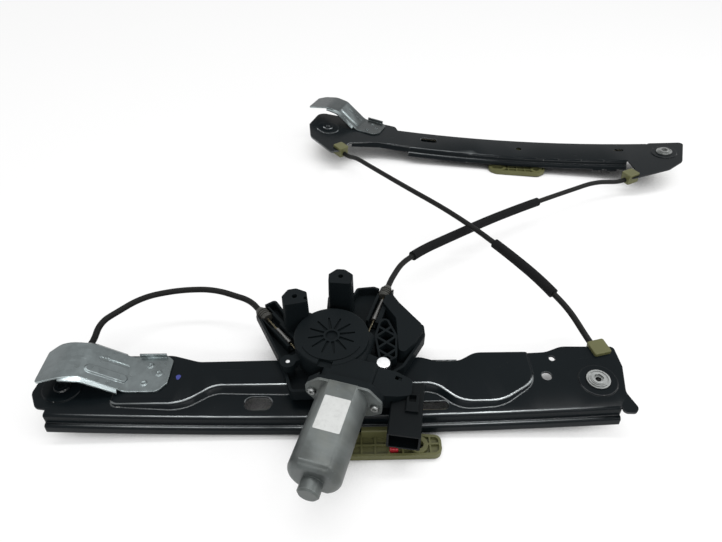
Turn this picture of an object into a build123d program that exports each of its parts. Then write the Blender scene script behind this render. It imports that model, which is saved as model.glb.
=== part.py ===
from build123d import *
import os
from math import asin, atan2, degrees, pi, radians, sqrt, tan

# Power window regulator with two bowed guide rails and one crossed cable loop.
# It lies with its glass side down.  X runs along the main rail, Y points from the
# main rail to the second rail and Z is up.  Everything is laid out about the axis
# of the cable drum and then moved as one, so that the origin is the middle of the
# floor rectangle under the whole object.  All sizes are in millimetres.

# ---------------------------------------------------------------- driving dimensions

sheet = 1.5                      # rail steel
sheet_bend = 1.8                 # middle-line radius of the rail's bends
running_gap = 0.35               # clearance of a sliding or turning fit
seat_gap = 0.05                  # clearance of pieces that only sit in each other

# main rail
main_bow = 3200.0                # radius of the lengthwise bow, its centre above the rail
main_half_length = 262.0
main_track_y = -62.0             # outer face of the upper track wall
track_upper = 12.0               # depth of the upper track wall
track_lower = 7.5                # depth of the lip under the ledge
track_ledge = 4.0                # width of the ledge between them
main_pulley_s = 243.0            # each end pulley from the middle of the rail
main_cable_t = -52.0             # lane of the cable along the rail
pad_height = 7.5                 # raised pad over the main rail's middle
pad_draft = 38.0

# second rail, a mirrored pressing whose track is its far edge
second_bow = 2300.0
second_middle = (226.0, 395.0)
second_angle = -9.5
second_track_t = 43.0
second_near_t = -8.0             # outer face of the near stiffening wall
second_near_upper = 8.5
second_near_lower = 4.5
second_near_ledge = 3.6
tab_depth = 15.6                 # clip tab under the second rail's surface
second_pulley_s = 250.0
second_cable_t = 35.0
second_bracket_inset = 73.0      # bracket's hook side from the left pulley

# cable and its conduits
cable_diameter = 1.8
cable_drop = 6.0                 # cable plane under the rail's upper surface
conduit_diameter = 6.2
sleeve_diameter = 11.0

# end pulleys and their axles
pulley_radius = 20.0             # to the middle of the cable
pulley_thickness = 6.0
main_pulley_t = main_cable_t + pulley_radius
second_pulley_t = second_cable_t - pulley_radius
axle_diameter = 8.0
bush_diameter = 21.0
bush_height = 3.4
rivet_head_diameter = 15.0
rivet_head_height = 1.8

# carriages
shoe_length = 44.0
shoe_floor = 2.6
main_plate_length = 116.0
main_carriage_s = 38.0           # where the carriages stand
second_plate_length = 82.0
second_carriage_s = 43.0
glass_hole_radius = 4.1          # bore for the glass fixing

# drive unit
drum_radius = 25.0               # to the middle of the cable
drum_middle_z = 38.5
drum_height = 10.0
drum_axle_diameter = 9.0
carrier_plate = 3.0
carrier_wall = 2.4
post_height = 50.0
post_bore_radius = 2.6
worm_offset = 28.0               # drum axis to worm axis
motor_axis_z = 50.0
motor_turn = 17.0                # motor axis from -Y towards -X, in plan
worm_radius = 4.2                # pitch radius
wheel_teeth = 60
wheel_height = 9.0
cover_radius = 34.5
cover_top_z = 62.0
can_diameter = 44.0
can_length = 79.0
can_wall = 1.6
flange_distance = 52.0           # from the worm's nearest point to the can's flange
boss_diameter = 18.0
boss_length = 11.0

rivet_radius = 2.5               # carrier rivets
carrier_rivet_places = ((-38, -9.5), (53, -13))

surface_z = track_upper + track_lower + running_gap + shoe_floor
pad_z = surface_z + pad_height
cable_radius = cable_diameter / 2

# ---------------------------------------------------------------- helpers


def outline(*corners):
    """Face inside a closed outline of (x, y, corner radius) points."""
    points = [(x, y) for x, y, _ in corners]
    radii = [radius for _, _, radius in corners]
    return make_face(FilletPolyline(*points, radius=radii, close=True))


def prism(face, low, high):
    """Straight solid over a plan face, between two heights."""
    return Pos(0, 0, low) * extrude(face, amount=high - low, dir=(0, 0, 1))


def tube(outer, inner, low, high):
    """Upright tube about the Z axis, given by its radii."""
    return prism(Circle(outer) - Circle(inner), low, high)


def disc(radius, low, high):
    return prism(Circle(radius), low, high)


def block(x0, x1, y0, y1, z0, z1):
    middle = Pos((x0 + x1) / 2, (y0 + y1) / 2, (z0 + z1) / 2)
    return middle * Box(x1 - x0, y1 - y0, z1 - z0)


def rod(start, end, radius):
    """Round bar between two points."""
    direction = Vector(*end) - Vector(*start)
    plane = Plane(origin=start, z_dir=direction)
    return extrude(plane * Circle(radius), amount=direction.length)


def solid_of(shape):
    """The one solid that an operation should have made."""
    solids = shape.solids()
    return max(solids, key=lambda solid: solid.volume)


class Rail:
    """A bowed rail: s runs along it, t across it, and lift is square to its surface."""

    def __init__(self, bow, middle, angle):
        self.bow = bow
        self.frame = Pos(middle[0], middle[1], surface_z) * Rot(0, 0, angle)

    def rise(self, s):
        """Height of the bowed surface over the rail's middle."""
        return self.bow - sqrt(self.bow**2 - s**2)

    def local(self, s, t, lift=0.0):
        """Place on the surface and tilted with it, in the rail's own frame."""
        tilt = degrees(asin(s / self.bow))
        return Pos(s, t, self.rise(s)) * Rot(0, -tilt, 0) * Pos(0, 0, lift)

    def at(self, s, t, lift=0.0):
        return self.frame * self.local(s, t, lift)

    def sweep(self, section, s_from, s_to):
        """Sweep a cross section, drawn as (across, lift), along the bow."""
        axis = Axis((0, 0, self.bow), (0, 1, 0))
        start = degrees(asin(s_from / self.bow))
        end = degrees(asin(s_to / self.bow))
        face = (Plane.YZ * section).rotate(axis, -end)
        return revolve(face, axis, end - start)

    def slab(self, s_from, s_to, t_from, t_to, low, high):
        """Bowed block with a rectangular cross section."""
        middle = Pos((t_from + t_to) / 2, (low + high) / 2)
        return self.sweep(middle * Rectangle(t_to - t_from, high - low), s_from, s_to)


main = Rail(main_bow, (0, 0), 0)
second = Rail(second_bow, second_middle, second_angle)


class Station:
    """An end pulley, and the straight cable that leads to it from its conduit seat.

    ``heading`` is the cable's direction as it runs on to the pulley, ``side`` is +1
    where it passes to the right of the axle, and ``strand`` is the side of the axle
    on which the cable leaves along the rail.
    """

    def __init__(self, rail, s, t, heading, side, lead, strand):
        self.rail = rail
        self.s, self.t = s, t
        length = sqrt(heading[0] ** 2 + heading[1] ** 2)
        self.heading = Vector(heading[0] / length, heading[1] / length, 0)
        self.tangent = Vector(-self.heading.Y, self.heading.X, 0) * side * pulley_radius
        self.lead = lead
        self.strand = strand
        self.plane = rail.local(s, t, -cable_drop)

    def shoulder(self):
        """Where the conduit ends, in the pulley's own plane."""
        return self.tangent - self.heading * self.lead

    def seat_frame(self):
        """X along the cable towards the pulley, origin at the conduit's end."""
        point = self.shoulder()
        turn = degrees(atan2(self.heading.Y, self.heading.X))
        return self.rail.frame * self.plane * Pos(point.X, point.Y, 0) * Rot(0, 0, turn)

    def cable(self):
        """The cable's wrap on the pulley and its lead from the seat."""
        start = 90.0 * self.strand
        end = degrees(atan2(self.tangent.Y, self.tangent.X))
        away = 1 if self.s > 0 else -1
        turn = (end - start) % 360 if away * self.strand < 0 else -((start - end) % 360)
        section = Plane.XZ * Pos(pulley_radius, 0) * Circle(cable_radius)
        wrap = Rot(0, 0, start) * revolve(section, Axis.Z, turn)
        straight = rod(self.tangent, self.shoulder(), cable_radius)
        return self.plane * (wrap + straight)


stations = {
    "main_left": Station(main, -main_pulley_s, main_pulley_t, (-0.45, -0.89), -1, 30.0, -1),
    "main_right": Station(main, main_pulley_s, main_pulley_t, (0.2, -0.98), 1, 30.0, -1),
    "second_left": Station(second, -second_pulley_s, second_pulley_t, (-0.766, 0.642), 1, 52.0, 1),
    "second_right": Station(second, second_pulley_s, second_pulley_t, (0.85, 0.53), -1, 76.0, 1),
}

parts = {}

# ---------------------------------------------------------------- rails


def stepped_wall(wall, panel_to, upper, lower, ledge, outward):
    """Panel edge, wall, ledge and lip of a rail as one bent sheet section."""
    half = sheet / 2
    face = wall - outward * half
    corners = (
        (panel_to, -half),
        (face, -half),
        (face, -upper + half),
        (face + outward * ledge, -upper + half),
        (face + outward * ledge, -upper - lower),
    )
    return trace(FilletPolyline(*corners, radius=sheet_bend), sheet)


def pad_outline():
    """Top of the raised pad: two wide ends, and a waist beside the window strip."""
    return outline(
        (-196, -50, 6),
        (-133, -50, 34),
        (-108, -31, 28),
        (95, -31, 26),
        (116, -51, 24),
        (152, -51, 34),
        (186, -30, 22),
        (186, 40, 4),
        (-196, 40, 4),
    )


def main_plan():
    """Plan outline of the main rail's panel, with a lobe round each end pulley."""
    s, t, inner = main_pulley_s, main_pulley_t, main_track_y + 3
    return outline(
        (-s - 6, inner, 1),
        (-s - 6, t - 24, 1),
        (-s - 15, t - 23, 6),
        (-s - 24, t - 8, 10),
        (-s - 19, t + 36, 10),
        (-152, 4, 26),
        (-126, -4, 26),
        (84, -1, 22),
        (98, -6, 20),
        (120, -6, 20),
        (136, 4, 22),
        (s - 38, 4, 22),
        (s - 22, 10, 18),
        (s + 27, 6, 4),
        (s + 27, t + 14, 8),
        (s + 20, t - 14, 10),
        (s + 25, main_track_y - 1, 5),
        (s + 21, main_track_y - 6, 4),
        (s + 11, main_track_y - 5, 4),
        (s + 11, inner, 1),
    )


def pulley_lobe(rail, station, thickness):
    """Raised round seat under the head of a pulley's axle."""
    return rail.local(station.s, station.t) * disc(17, -sheet / 2, thickness)


def main_rail():
    """Bowed pressing: raised pad, stepped track, windows and holes."""
    reach = main_half_length + 24

    def skin(depth):
        """Everything under the sheet's upper side, or under its lower side."""
        panel = main.slab(-reach, reach, -90, 40, -14, -depth)
        top = pad_height - depth
        pad = Pos(0, 0, top) * extrude(pad_outline(), amount=14, dir=(0, 0, -1), taper=-pad_draft)
        pressed = panel + pad
        on_top = pressed.edges().filter_by(lambda edge: abs(edge.center().Z - top) < 0.01)
        rim = on_top.filter_by(lambda edge: edge.center().Y < 30 and abs(edge.center().X) < 170)
        return fillet(rim, 3.5 - depth)

    shape = (skin(0) - skin(sheet)) & prism(main_plan(), -20, 40)
    wall = stepped_wall(main_track_y, main_track_y + 8, track_upper, track_lower, track_ledge, -1)
    shape += main.sweep(wall, -6 - main_pulley_s, main_pulley_s + 11)
    for name in ("main_left", "main_right"):
        station = stations[name]
        shape += pulley_lobe(main, station, 0.9)
        shape -= main.local(station.s, station.t) * disc(axle_diameter / 2 + seat_gap, -5, 5)
    far_return = main.slab(-118, 118, -5.5, -4, -5, pad_height)
    far_return &= block(-119, 119, -6, -3, -9, pad_height - 0.7)
    shape += far_return
    shape -= Pos(-66, -46.5) * prism(SlotOverall(25, 14), -20, 20)
    shape -= Pos(86, -51) * prism(SlotOverall(38, 8.5), -20, 20)
    shape -= Pos(209, -4) * disc(2.8, -20, 30)
    shape -= Pos(199, -24) * disc(4.6, -20, 30)
    for x, y in carrier_rivet_places:
        shape -= Pos(x, y) * disc(rivet_radius + seat_gap, -20, 30)
    for name in ("main_left", "main_right"):
        shape -= seat_notch(stations[name])
    return main.frame * solid_of(shape)


# ---------------------------------------------------------------- conduit seats

seat_length = 17.0
seat_width = 14.0
seat_top = 9.5                   # above the cable's axis
seat_bottom = 5.0                # below it
seat_lip = 1.4                   # overhang of the cap round the notch


def seat_block():
    """Body of a conduit seat about its own cable axis."""
    half = seat_width / 2
    return block(-12, seat_length - 12, -half, half, -seat_bottom, cable_drop + 1)


def seat_notch(station):
    """Opening in the rail's panel that a conduit seat snaps into."""
    half = seat_width / 2 + seat_gap
    cutter = block(-32, seat_length - 12 + seat_gap, -half, half, -seat_bottom - 1, cable_drop + 4)
    return station.rail.frame.inverse() * station.seat_frame() * cutter


def conduit_seat(station):
    """Moulded snap-in seat: cap on the panel, body through it, bore for the cable."""
    half = seat_width / 2
    cap = block(-12, seat_length - 12, -half - seat_lip, half + seat_lip, cable_drop + 0.02, seat_top)
    cap = fillet(cap.edges().filter_by(Axis.Z), 2.0)
    cap = fillet(cap.faces().sort_by(Axis.Z)[-1].edges(), 1.0)
    body = cap + seat_block()
    body -= rod((-13, 0, 0), (0, 0, 0), conduit_diameter / 2 + seat_gap)
    body -= rod((-1, 0, 0), (seat_length, 0, 0), cable_radius + running_gap)
    rail = station.rail
    reach = abs(station.s)
    start, end = sorted((station.s, station.s - 110 * station.s / reach))
    panel = rail.slab(start - 30, end + 30, -90, 90, -sheet - seat_gap, seat_gap) - seat_notch(station)
    return solid_of(station.seat_frame() * body - rail.frame * panel)



def second_plan():
    """Plan outline of the second rail's panel."""
    s, near = second_pulley_s, second_near_t + 3
    return outline(
        (-s + 18, -54, 4),
        (-s + 35, -42, 3),
        (-s + 38, -20, 12),
        (-s + 80, near + 1, 20),
        (-s + 128, near, 20),
        (-54 + s, near, 3),
        (-48 + s, -30, 5),
        (-57 + s, -49, 2),
        (-56 + s, -56, 2),
        (-3 + s, -32, 10),
        (18 + s, -12, 12),
        (33 + s, second_track_t, 6),
        (-14 + s, second_track_t, 4),
        (-18 + s, second_track_t - 3, 2),
        (-s + 108, second_track_t - 3, 2),
        (-s + 102, second_track_t + 9, 6),
        (-s + 68, second_track_t + 15, 10),
        (-s - 22, second_track_t + 18, 14),
        (-s - 30, second_pulley_t + 2, 14),
        (-s - 20, -20, 14),
    )


def second_rail():
    """Mirrored bowed pressing: far track, stepped near wall, neck and clip tab."""
    shape = second.slab(-300, 300, -70, 70, -sheet, 0) & prism(second_plan(), -20, 60)
    s = second_pulley_s
    track = stepped_wall(second_track_t, second_track_t - 8, track_upper, track_lower, track_ledge, 1)
    shape += second.sweep(track, 108 - s, s - 18)
    near = stepped_wall(
        second_near_t, second_near_t + 8, second_near_upper, second_near_lower, second_near_ledge, -1
    )
    shape += second.sweep(near, 130 - s, s - 54)
    neck_line = Polyline((-s + 42, -14), (-s + 82, second_near_t + 3.5), (-s + 131, second_near_t + sheet / 2))
    neck = prism(trace(neck_line, sheet), -20, 60)
    shape += neck & second.slab(-s + 30, -s + 131, -40, 20, -second_near_upper, 0)
    lip = second_near_t - second_near_ledge
    depth = second_near_upper + second_near_lower
    tab = second.slab(s - 100, s - 66, lip, lip + sheet, -tab_depth, -depth + 1)
    tab -= second.slab(s - 86, s - 80, lip - 1, lip + 3, -tab_depth - 1, -depth)
    shape += tab
    for name in ("second_left", "second_right"):
        station = stations[name]
        shape += pulley_lobe(second, station, 0.9)
        shape -= second.local(station.s, station.t) * disc(axle_diameter / 2 + seat_gap, -5, 5)
        shape -= seat_notch(station)
    shape -= Pos(-92, 21) * prism(SlotOverall(26, 12), -20, 40)
    shape -= Pos(45, 18) * disc(4.2, -20, 40)
    shape -= Pos(190, 23) * prism(SlotOverall(13, 7), -20, 40)
    return second.frame * solid_of(shape)


# ---------------------------------------------------------------- fixing brackets

bracket_sheet = 1.8
bracket_width = 42.0
bracket_rise = 23.0              # knee over the foot
ramp_start = -26.0               # foot and ramp meet, from the bracket's own origin
ramp_end = -60.0
turned_edge = 4.6                # width of the edges turned down beside the ramp
main_flap = 99.0                 # how far each bracket's flap reaches
second_flap = 108.0


def turned_edge_strip(line, y, side, first, last):
    """Edge of the ramp and crest bent outwards and down, from one place to another."""
    face = Plane.XZ * trace(line, bracket_sheet)
    strip = Pos(0, y, 0) * extrude(face, amount=turned_edge, dir=(0, 0.7 * side, -0.71))
    ends = outline(
        (first, y - side, 1), (first, y + 8 * side, 7), (last, y + 8 * side, 7), (last, y - side, 1)
    )
    return strip & prism(ends, -10, 60)


def fixing_bracket(flap):
    """Folded hook bracket: clinched foot, ribbed ramp with turned edges, crest and drooping flap."""
    half = bracket_sheet / 2
    line = FilletPolyline(
        (12, half),
        (ramp_start, half),
        (ramp_end, bracket_rise),
        (-78, bracket_rise + 2),
        (-flap, bracket_rise - 5),
        radius=[9, 14, 30],
    )
    strip = extrude(Plane.XZ * trace(line, bracket_sheet), amount=bracket_width, both=True)
    plan = outline(
        (10, -9, 4),
        (3, -18, 8),
        (-26, -18, 14),
        (-60, -17, 12),
        (-80, -20, 10),
        (-flap, -20, 3),
        (-flap - 2, 13, 8),
        (-flap + 9, 21, 10),
        (-60, 20, 20),
        (-30, 20, 10),
        (-22, 22, 4),
        (4, 22, 2),
        (10, 17, 4),
    )
    shape = strip & prism(plan, -10, 60)
    shape += turned_edge_strip(line, -17, -1, -78, ramp_start - 6)
    shape += turned_edge_strip(line, 20, 1, -74, ramp_start - 8)
    slope = degrees(atan2(bracket_rise - half, ramp_start - ramp_end))
    middle = (ramp_start + ramp_end) / 2
    ramp = Pos(middle, 0, (bracket_rise + half) / 2) * Rot(0, slope, 0) * Pos(0, 0, half)
    shape += ramp * Pos(0, -6, -0.2) * extrude(SlotOverall(38, 9), amount=2.0, taper=25)
    shape -= ramp * Pos(0, -6, -3.2) * extrude(SlotOverall(36, 7), amount=3.0, taper=25)
    shape -= ramp * Pos(3, 8, -0.6) * prism(SlotOverall(27, 3), 0, 3)
    for x, y in ((-10, 11), (0, 2), (-11, -9)):
        shape += Pos(x, y, bracket_sheet - 0.1) * extrude(Circle(3.2), amount=1.1, taper=25)
        shape -= Pos(x, y, bracket_sheet + 0.2) * disc(1.5, 0, 2)
    shape += Pos(-9, 21.2, 0) * block(-13, 12, -0.9, 0.8, 0.2, 6)
    return solid_of(shape)


# ---------------------------------------------------------------- pulleys and axles

pulley_underside = -cable_drop - pulley_thickness / 2


def pulley(station):
    """End pulley with a V groove, seen about its own axis."""
    half = pulley_thickness / 2
    rim = pulley_radius + 1.6
    groove = pulley_radius - cable_radius - running_gap
    bore = axle_diameter / 2 + 0.08
    section = make_face(
        Polyline(
            (bore, -half),
            (rim, -half),
            (rim, -half + 0.5),
            (groove, -0.5),
            (groove, 0.5),
            (rim, half - 0.5),
            (rim, half),
            (bore, half),
            close=True,
        )
    )
    wheel = revolve(Plane.XZ * section, Axis.Z)
    for turn in range(0, 360, 72):
        wheel -= Rot(0, 0, turn) * Pos(12.5, 0) * disc(3.4, -half - 1, half + 1)
    return station.rail.frame * station.plane * solid_of(wheel)


def axle_shank(low_head):
    """Shank, thrust collar and lower head shared by rivets and fixing bushes."""
    shank = disc(axle_diameter / 2, pulley_underside - 0.5, 0.9)
    collar = disc(axle_diameter / 2 + 2.5, -cable_drop + pulley_thickness / 2 + 0.1, -sheet)
    head = disc(low_head, pulley_underside - 1.6, pulley_underside - 0.1)
    return shank + collar + head


def pulley_rivet(station):
    shape = axle_shank(6.5)
    head = disc(rivet_head_diameter / 2, 0.9, 0.9 + rivet_head_height)
    shape += chamfer(head.faces().sort_by(Axis.Z)[-1].edges(), 0.9)
    shape -= disc(3, 1.8, 4)
    return station.rail.at(station.s, station.t) * solid_of(shape)


def fixing_bush(station):
    """Stepped fixing bush with a hexagon drive over a through bore."""
    base = 0.9
    shape = axle_shank(7.5)
    shape += disc(bush_diameter / 2, base, base + 1.5)
    shape += disc(bush_diameter / 2 - 1.6, base, base + bush_height - 0.7)
    shape += disc(bush_diameter / 2 - 4.2, base, base + bush_height)
    shape -= tube(bush_diameter / 2 - 2.3, bush_diameter / 2 - 3.3, base + 1.9, 9)
    shape -= prism(RegularPolygon(4.6, 6), base + 1.0, 9)
    shape -= disc(2.6, -20, 9)
    return station.rail.at(station.s, station.t) * solid_of(shape)


# ---------------------------------------------------------------- cable strands


def strand(rail, names, side):
    """Cable along one rail, round both end pulleys and into both conduit seats."""
    across = stations[names[0]].t + side * pulley_radius
    reach = stations[names[1]].s
    shape = rail.sweep(Pos(across, -cable_drop) * Circle(cable_radius), -reach, reach)
    for name in names:
        shape += stations[name].cable()
    return rail.frame * shape


# ---------------------------------------------------------------- drive unit frames

drive = Rot(0, 0, -motor_turn) * Pos(worm_offset, 0, motor_axis_z)
shaft_frame = drive * Rot(90, 0, 0)          # Z runs from the worm to the motor's end
drum_low = drum_middle_z - drum_height / 2
drum_high = drum_middle_z + drum_height / 2
wheel_low = motor_axis_z - wheel_height / 2
wheel_high = motor_axis_z + wheel_height / 2


class Outlet:
    """Straight cable run from the drum to the end of its conduit."""

    def __init__(self, heading, side, ferrule, cap):
        length = sqrt(heading[0] ** 2 + heading[1] ** 2)
        self.heading = Vector(heading[0] / length, heading[1] / length, 0)
        self.start = Vector(-self.heading.Y, self.heading.X, 0) * side * drum_radius
        self.ferrule = ferrule
        self.cap = cap
        turn = degrees(atan2(self.heading.Y, self.heading.X))
        self.frame = Pos(self.start.X, self.start.Y, drum_middle_z) * Rot(0, 0, turn)

    def point(self, distance, rise=0.0):
        place = self.start + self.heading * distance
        return (place.X, place.Y, drum_middle_z + rise)


outlets = {
    "left": Outlet((-0.62, 0.78), 1, (34, 56), (74, 90)),
    "right": Outlet((0.33, 0.944), -1, (50, 80), (84, 100)),
}

# ---------------------------------------------------------------- conduits

cap_diameter = 13.0


def corner_radii(points):
    """Corners of a route, and the largest arc that fits at each one."""
    corners = [Vector(*point) for point in points]
    runs = [after - before for before, after in zip(corners, corners[1:])]
    radii = []
    for before, after in zip(runs, runs[1:]):
        turn = radians(before.get_angle(after))
        radii.append(0.45 * min(before.length, after.length) / tan(turn / 2))
    return corners, radii


def route(points, diameter, name):
    """Tube along straight runs joined by arcs as large as the runs allow."""
    corners, radii = corner_radii(points)
    path = FilletPolyline(*corners, radius=radii)
    plane = Plane(origin=path @ 0, z_dir=path % 0)
    shape = sweep(plane * Circle(diameter / 2), path=path)
    share = shape.volume / (pi * diameter**2 / 4 * path.length)
    print(name, "radii", [round(radius) for radius in radii], "volume share", round(share, 4))
    return shape


def seat_points(name):
    """End of a conduit in its seat, and a point straight behind it."""
    frame = stations[name].seat_frame()
    ends = [frame * Pos(-distance, 0, 0) for distance in (0.0, 22.0)]
    return [tuple(end.position) for end in ends]


def left_conduit():
    seat, lead = seat_points("main_left")
    outlet = outlets["left"]
    points = [
        outlet.point(outlet.cap[1] - 4),
        outlet.point(outlet.cap[1] + 18),
        (-126, 82, 43),
        (-163, 81, 43),
        (-199, 73, 41),
        (-233, 42, 37),
        lead,
        seat,
    ]
    return route(points, conduit_diameter, "left_conduit")


right_route_middle = (
    (74, 124, 40),
    (101, 150, 38),
    (138, 176, 36),
    (190, 211, 34),
    (236, 238, 33),
    (284, 264, 32),
    (352, 299, 31),
)


def right_points():
    seat, lead = seat_points("second_right")
    outlet = outlets["right"]
    return [outlet.point(outlet.cap[1] - 4), outlet.point(outlet.cap[1] + 14), *right_route_middle, lead, seat]


cross_route_middle = (
    (25, 358, 37),
    (58, 309, 43),
    (94, 259, 48),
    (131, 213, 51),
    (165, 168, 51),
    (196, 122, 49),
    (217, 90, 46),
    (239, 50, 40),
)


def cross_points():
    far_seat, far_lead = seat_points("second_left")
    near_seat, near_lead = seat_points("main_right")
    return [far_seat, far_lead, *cross_route_middle, near_lead, near_seat]


def sleeve(points, first, last):
    """Hollow anti-rattle sleeve on a conduit, from the middle of one run to another's."""
    corners, radii = corner_radii(points)
    start = (corners[first - 1] + corners[first]) / 2
    end = (corners[last] + corners[last + 1]) / 2
    path = FilletPolyline(start, *corners[first : last + 1], end, radius=radii[first - 1 : last])
    ring = Circle(sleeve_diameter / 2) - Circle(conduit_diameter / 2 + seat_gap)
    return sweep(Plane(origin=path @ 0, z_dir=path % 0) * ring, path=path)


def outlet_cap(outlet):
    """Ribbed conduit end cap that seats in the carrier's mouth."""
    length = outlet.cap[1] - outlet.cap[0]
    section = [(cable_radius + running_gap, 0), (cap_diameter / 2 - 1.2, 0)]
    ribs = 4
    for index in range(ribs):
        along = 2 + index * 2.6
        section += [(cap_diameter / 2, along), (cap_diameter / 2, along + 1.3)]
        section += [(cap_diameter / 2 - 0.9, along + 1.3), (cap_diameter / 2 - 0.9, along + 2.6)]
    section += [
        (conduit_diameter / 2 + 1.0, length),
        (conduit_diameter / 2 + seat_gap, length),
        (conduit_diameter / 2 + seat_gap, length - 4),
        (cable_radius + running_gap, length - 4),
    ]
    shape = revolve(Plane.XZ * make_face(Polyline(*section, close=True)), Axis.Z)
    return outlet.frame * Pos(outlet.cap[0], 0, 0) * Rot(0, 90, 0) * shape


def ferrule(outlet, tip):
    """Spring sleeve that guides the cable between the drum and the cap."""
    start, end = outlet.ferrule
    section = make_face(
        Polyline(
            (cable_radius + running_gap, 0),
            (2.9, 0),
            (tip, end - start),
            (cable_radius + running_gap, end - start),
            close=True,
        )
    )
    shape = revolve(Plane.XZ * section, Axis.Z)
    return outlet.frame * Pos(start, 0, 0) * Rot(0, 90, 0) * shape


def outlet_cable(outlet):
    """Bare cable from the drum through ferrule and cap to the conduit."""
    end = outlet.cap[1] - 4
    return outlet.frame * rod((1, 0, 0), (end, 0, 0), cable_radius)


# ---------------------------------------------------------------- drum carrier

post_places = {"left": (-35, 33, 12), "right": (8, 60, -6)}
gearbox_screws = ((-24.5, 30.5), (46.5, -26.5), (-39, -22))
carrier_top = drum_high + 1.0
ear_low = carrier_top + 1.25
ear_high = ear_low + 7.0
screw_radius = 1.9
chamber_radius = drum_radius + 5.0


def carrier_outline():
    return outline(
        (-36, -48, 5),
        (30, -46, 6),
        (66, -22, 8),
        (80, 0, 6),
        (89, 15, 4),
        (89, 28, 4),
        (79, 36, 3),
        (60, 74, 6),
        (42, 84, 5),
        (24, 82, 4),
        (19, 71, 4),
        (-6, 71, 4),
        (-7, 44, 6),
        (-24, 46, 6),
        (-47, 46, 6),
        (-60, 66, 4),
        (-80, 52, 4),
        (-46, -16, 12),
    )


def carrier_post(x, y, turn):
    """Hollow moulded column that carries one of the unit's fixing bores."""
    section = outline((-11, -10, 3), (11, -10, 3), (12, 3, 3), (3, 10, 4), (-5, 10, 3), (-12, 2, 3))
    column = extrude(section, amount=-post_height, taper=-1.5)
    column -= Pos(0, 0, -3) * extrude(offset(section, -carrier_wall), amount=-post_height, taper=-1.5)
    column += Pos(0, 0, -12) * tube(5, post_bore_radius, 0, 11)
    column -= disc(post_bore_radius, -30, 1)
    return Pos(x, y, pad_z + post_height) * Rot(0, 0, turn) * column


def rib_lattice():
    """Crossing stiffening ribs between the worm tube and the right wing."""
    field = outline((44, -24, 3), (60, -14, 3), (62, 12, 4), (54, 34, 4), (46, 34, 3), (40, 12, 3))
    ribs = Sketch()
    for shift in range(-26, 48, 15):
        ribs += Pos(51, shift) * Rot(0, 0, 38) * Rectangle(60, 2.2)
        ribs += Pos(51, shift) * Rot(0, 0, -38) * Rectangle(60, 2.2)
    ribs = ribs & field
    ribs += field - offset(field, -2.0)
    return prism(ribs, pad_z, drum_high + 3)


def carrier():
    """Moulded drum carrier: plate, rim, drum chamber, cable channels, posts and ribs."""
    face = carrier_outline()
    floor = pad_z + carrier_plate
    shape = prism(face, pad_z, floor)
    shape += prism(face - offset(face, -carrier_wall), pad_z, carrier_top - 2)
    shape += tube(chamber_radius + carrier_wall, chamber_radius, floor - 0.5, carrier_top)
    wing = outline((62, -14, 4), (78, 3, 4), (86, 16, 4), (86, 26, 4), (57, 69, 4), (48, 60, 6), (62, 34, 8))
    cap = Pos(0, 0, carrier_top + 3) * extrude(wing, amount=-18, taper=-8)
    shape += (cap & prism(face, pad_z, 90)) - prism(offset(wing, -2.0), pad_z, carrier_top + 1)
    shape += rib_lattice()
    for outlet in outlets.values():
        first, last = outlet.ferrule[0] - 6, outlet.cap[1] - 6
        walls = block(first, last, -8.2, 6.2, pad_z - drum_middle_z, 5.0)
        shape += outlet.frame * (walls & Pos(0, 0, -drum_middle_z) * disc(200, pad_z, 90))
    for x, y, turn in post_places.values():
        shape += carrier_post(x, y, turn)
    for outlet in outlets.values():
        length = outlet.ferrule[1] + 2
        shape -= outlet.frame * block(0, length, -3.6, 3.6, -3.4, 9)
        shape -= outlet.frame * block(length - 1, outlet.cap[0], -5.2, 5.2, -4.2, 9)
        mouth = block(outlet.cap[0] - 0.2, outlet.cap[1] + 9, -6.8, 6.8, 0, 9)
        mouth += rod((outlet.cap[0] - 0.2, 0, 0), (outlet.cap[1] + 9, 0, 0), 6.8)
        shape -= outlet.frame * mouth
    shape -= disc(chamber_radius, floor, 90)
    for x, y in gearbox_screws:
        shape += Pos(x, y) * disc(5.5, pad_z, ear_low - seat_gap)
        shape -= Pos(x, y) * disc(screw_radius + seat_gap, pad_z + 2, 90)
    for x, y in carrier_rivet_places:
        shape += Pos(x, y) * disc(6.0, pad_z, floor + 1.2)
        shape -= Pos(x, y) * disc(4.4, floor + 1.2, carrier_top)
        shape -= Pos(x, y) * disc(rivet_radius + seat_gap, pad_z - 1, floor + 2)
    shape -= disc(drum_axle_diameter / 2 - 1.0, 0, 90)
    return solid_of(shape - carrier_clearance())


def carrier_clearance():
    """Space of the gear housing and the control unit, which the carrier leaves free."""
    space = disc(cover_radius + 0.15, lid_low - seat_gap, 90)
    neck = Pos(-1, 0, neck_start - 2) * extrude(
        Rectangle(neck_width + 1, neck_height + 1), amount=flange_distance
    )
    space += shaft_frame * neck
    space += shaft_frame * Pos(0, 0, flange_distance - 6.5) * extrude(offset(flange_face(), 0.5), amount=30)
    for x, y in gearbox_screws:
        space += Pos(x, y) * disc(7.4, ear_low - seat_gap / 2, ear_high)
    unit = drive * Pos(0, 0, -motor_axis_z) * prism(offset(cover_outline(), 0.6), cover_box_low - 0.5, 90)
    return space + unit


# ---------------------------------------------------------------- drum and gear train

lid_thickness = 1.0
lid_low = drum_high + 0.4


def drum_axle():
    """Fixed pin, riveted to the carrier, that the drum and the wheel turn on."""
    shape = disc(drum_axle_diameter / 2, pad_z + carrier_plate, wheel_high + 2.0)
    shape += disc(drum_axle_diameter / 2 - 1.0 - seat_gap, pad_z, pad_z + carrier_plate + 0.5)
    return solid_of(chamfer(shape.faces().sort_by(Axis.Z)[-1].edges(), 0.8))


groove_pitch = 2.6
groove_radius = drum_radius - cable_radius - running_gap


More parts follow.
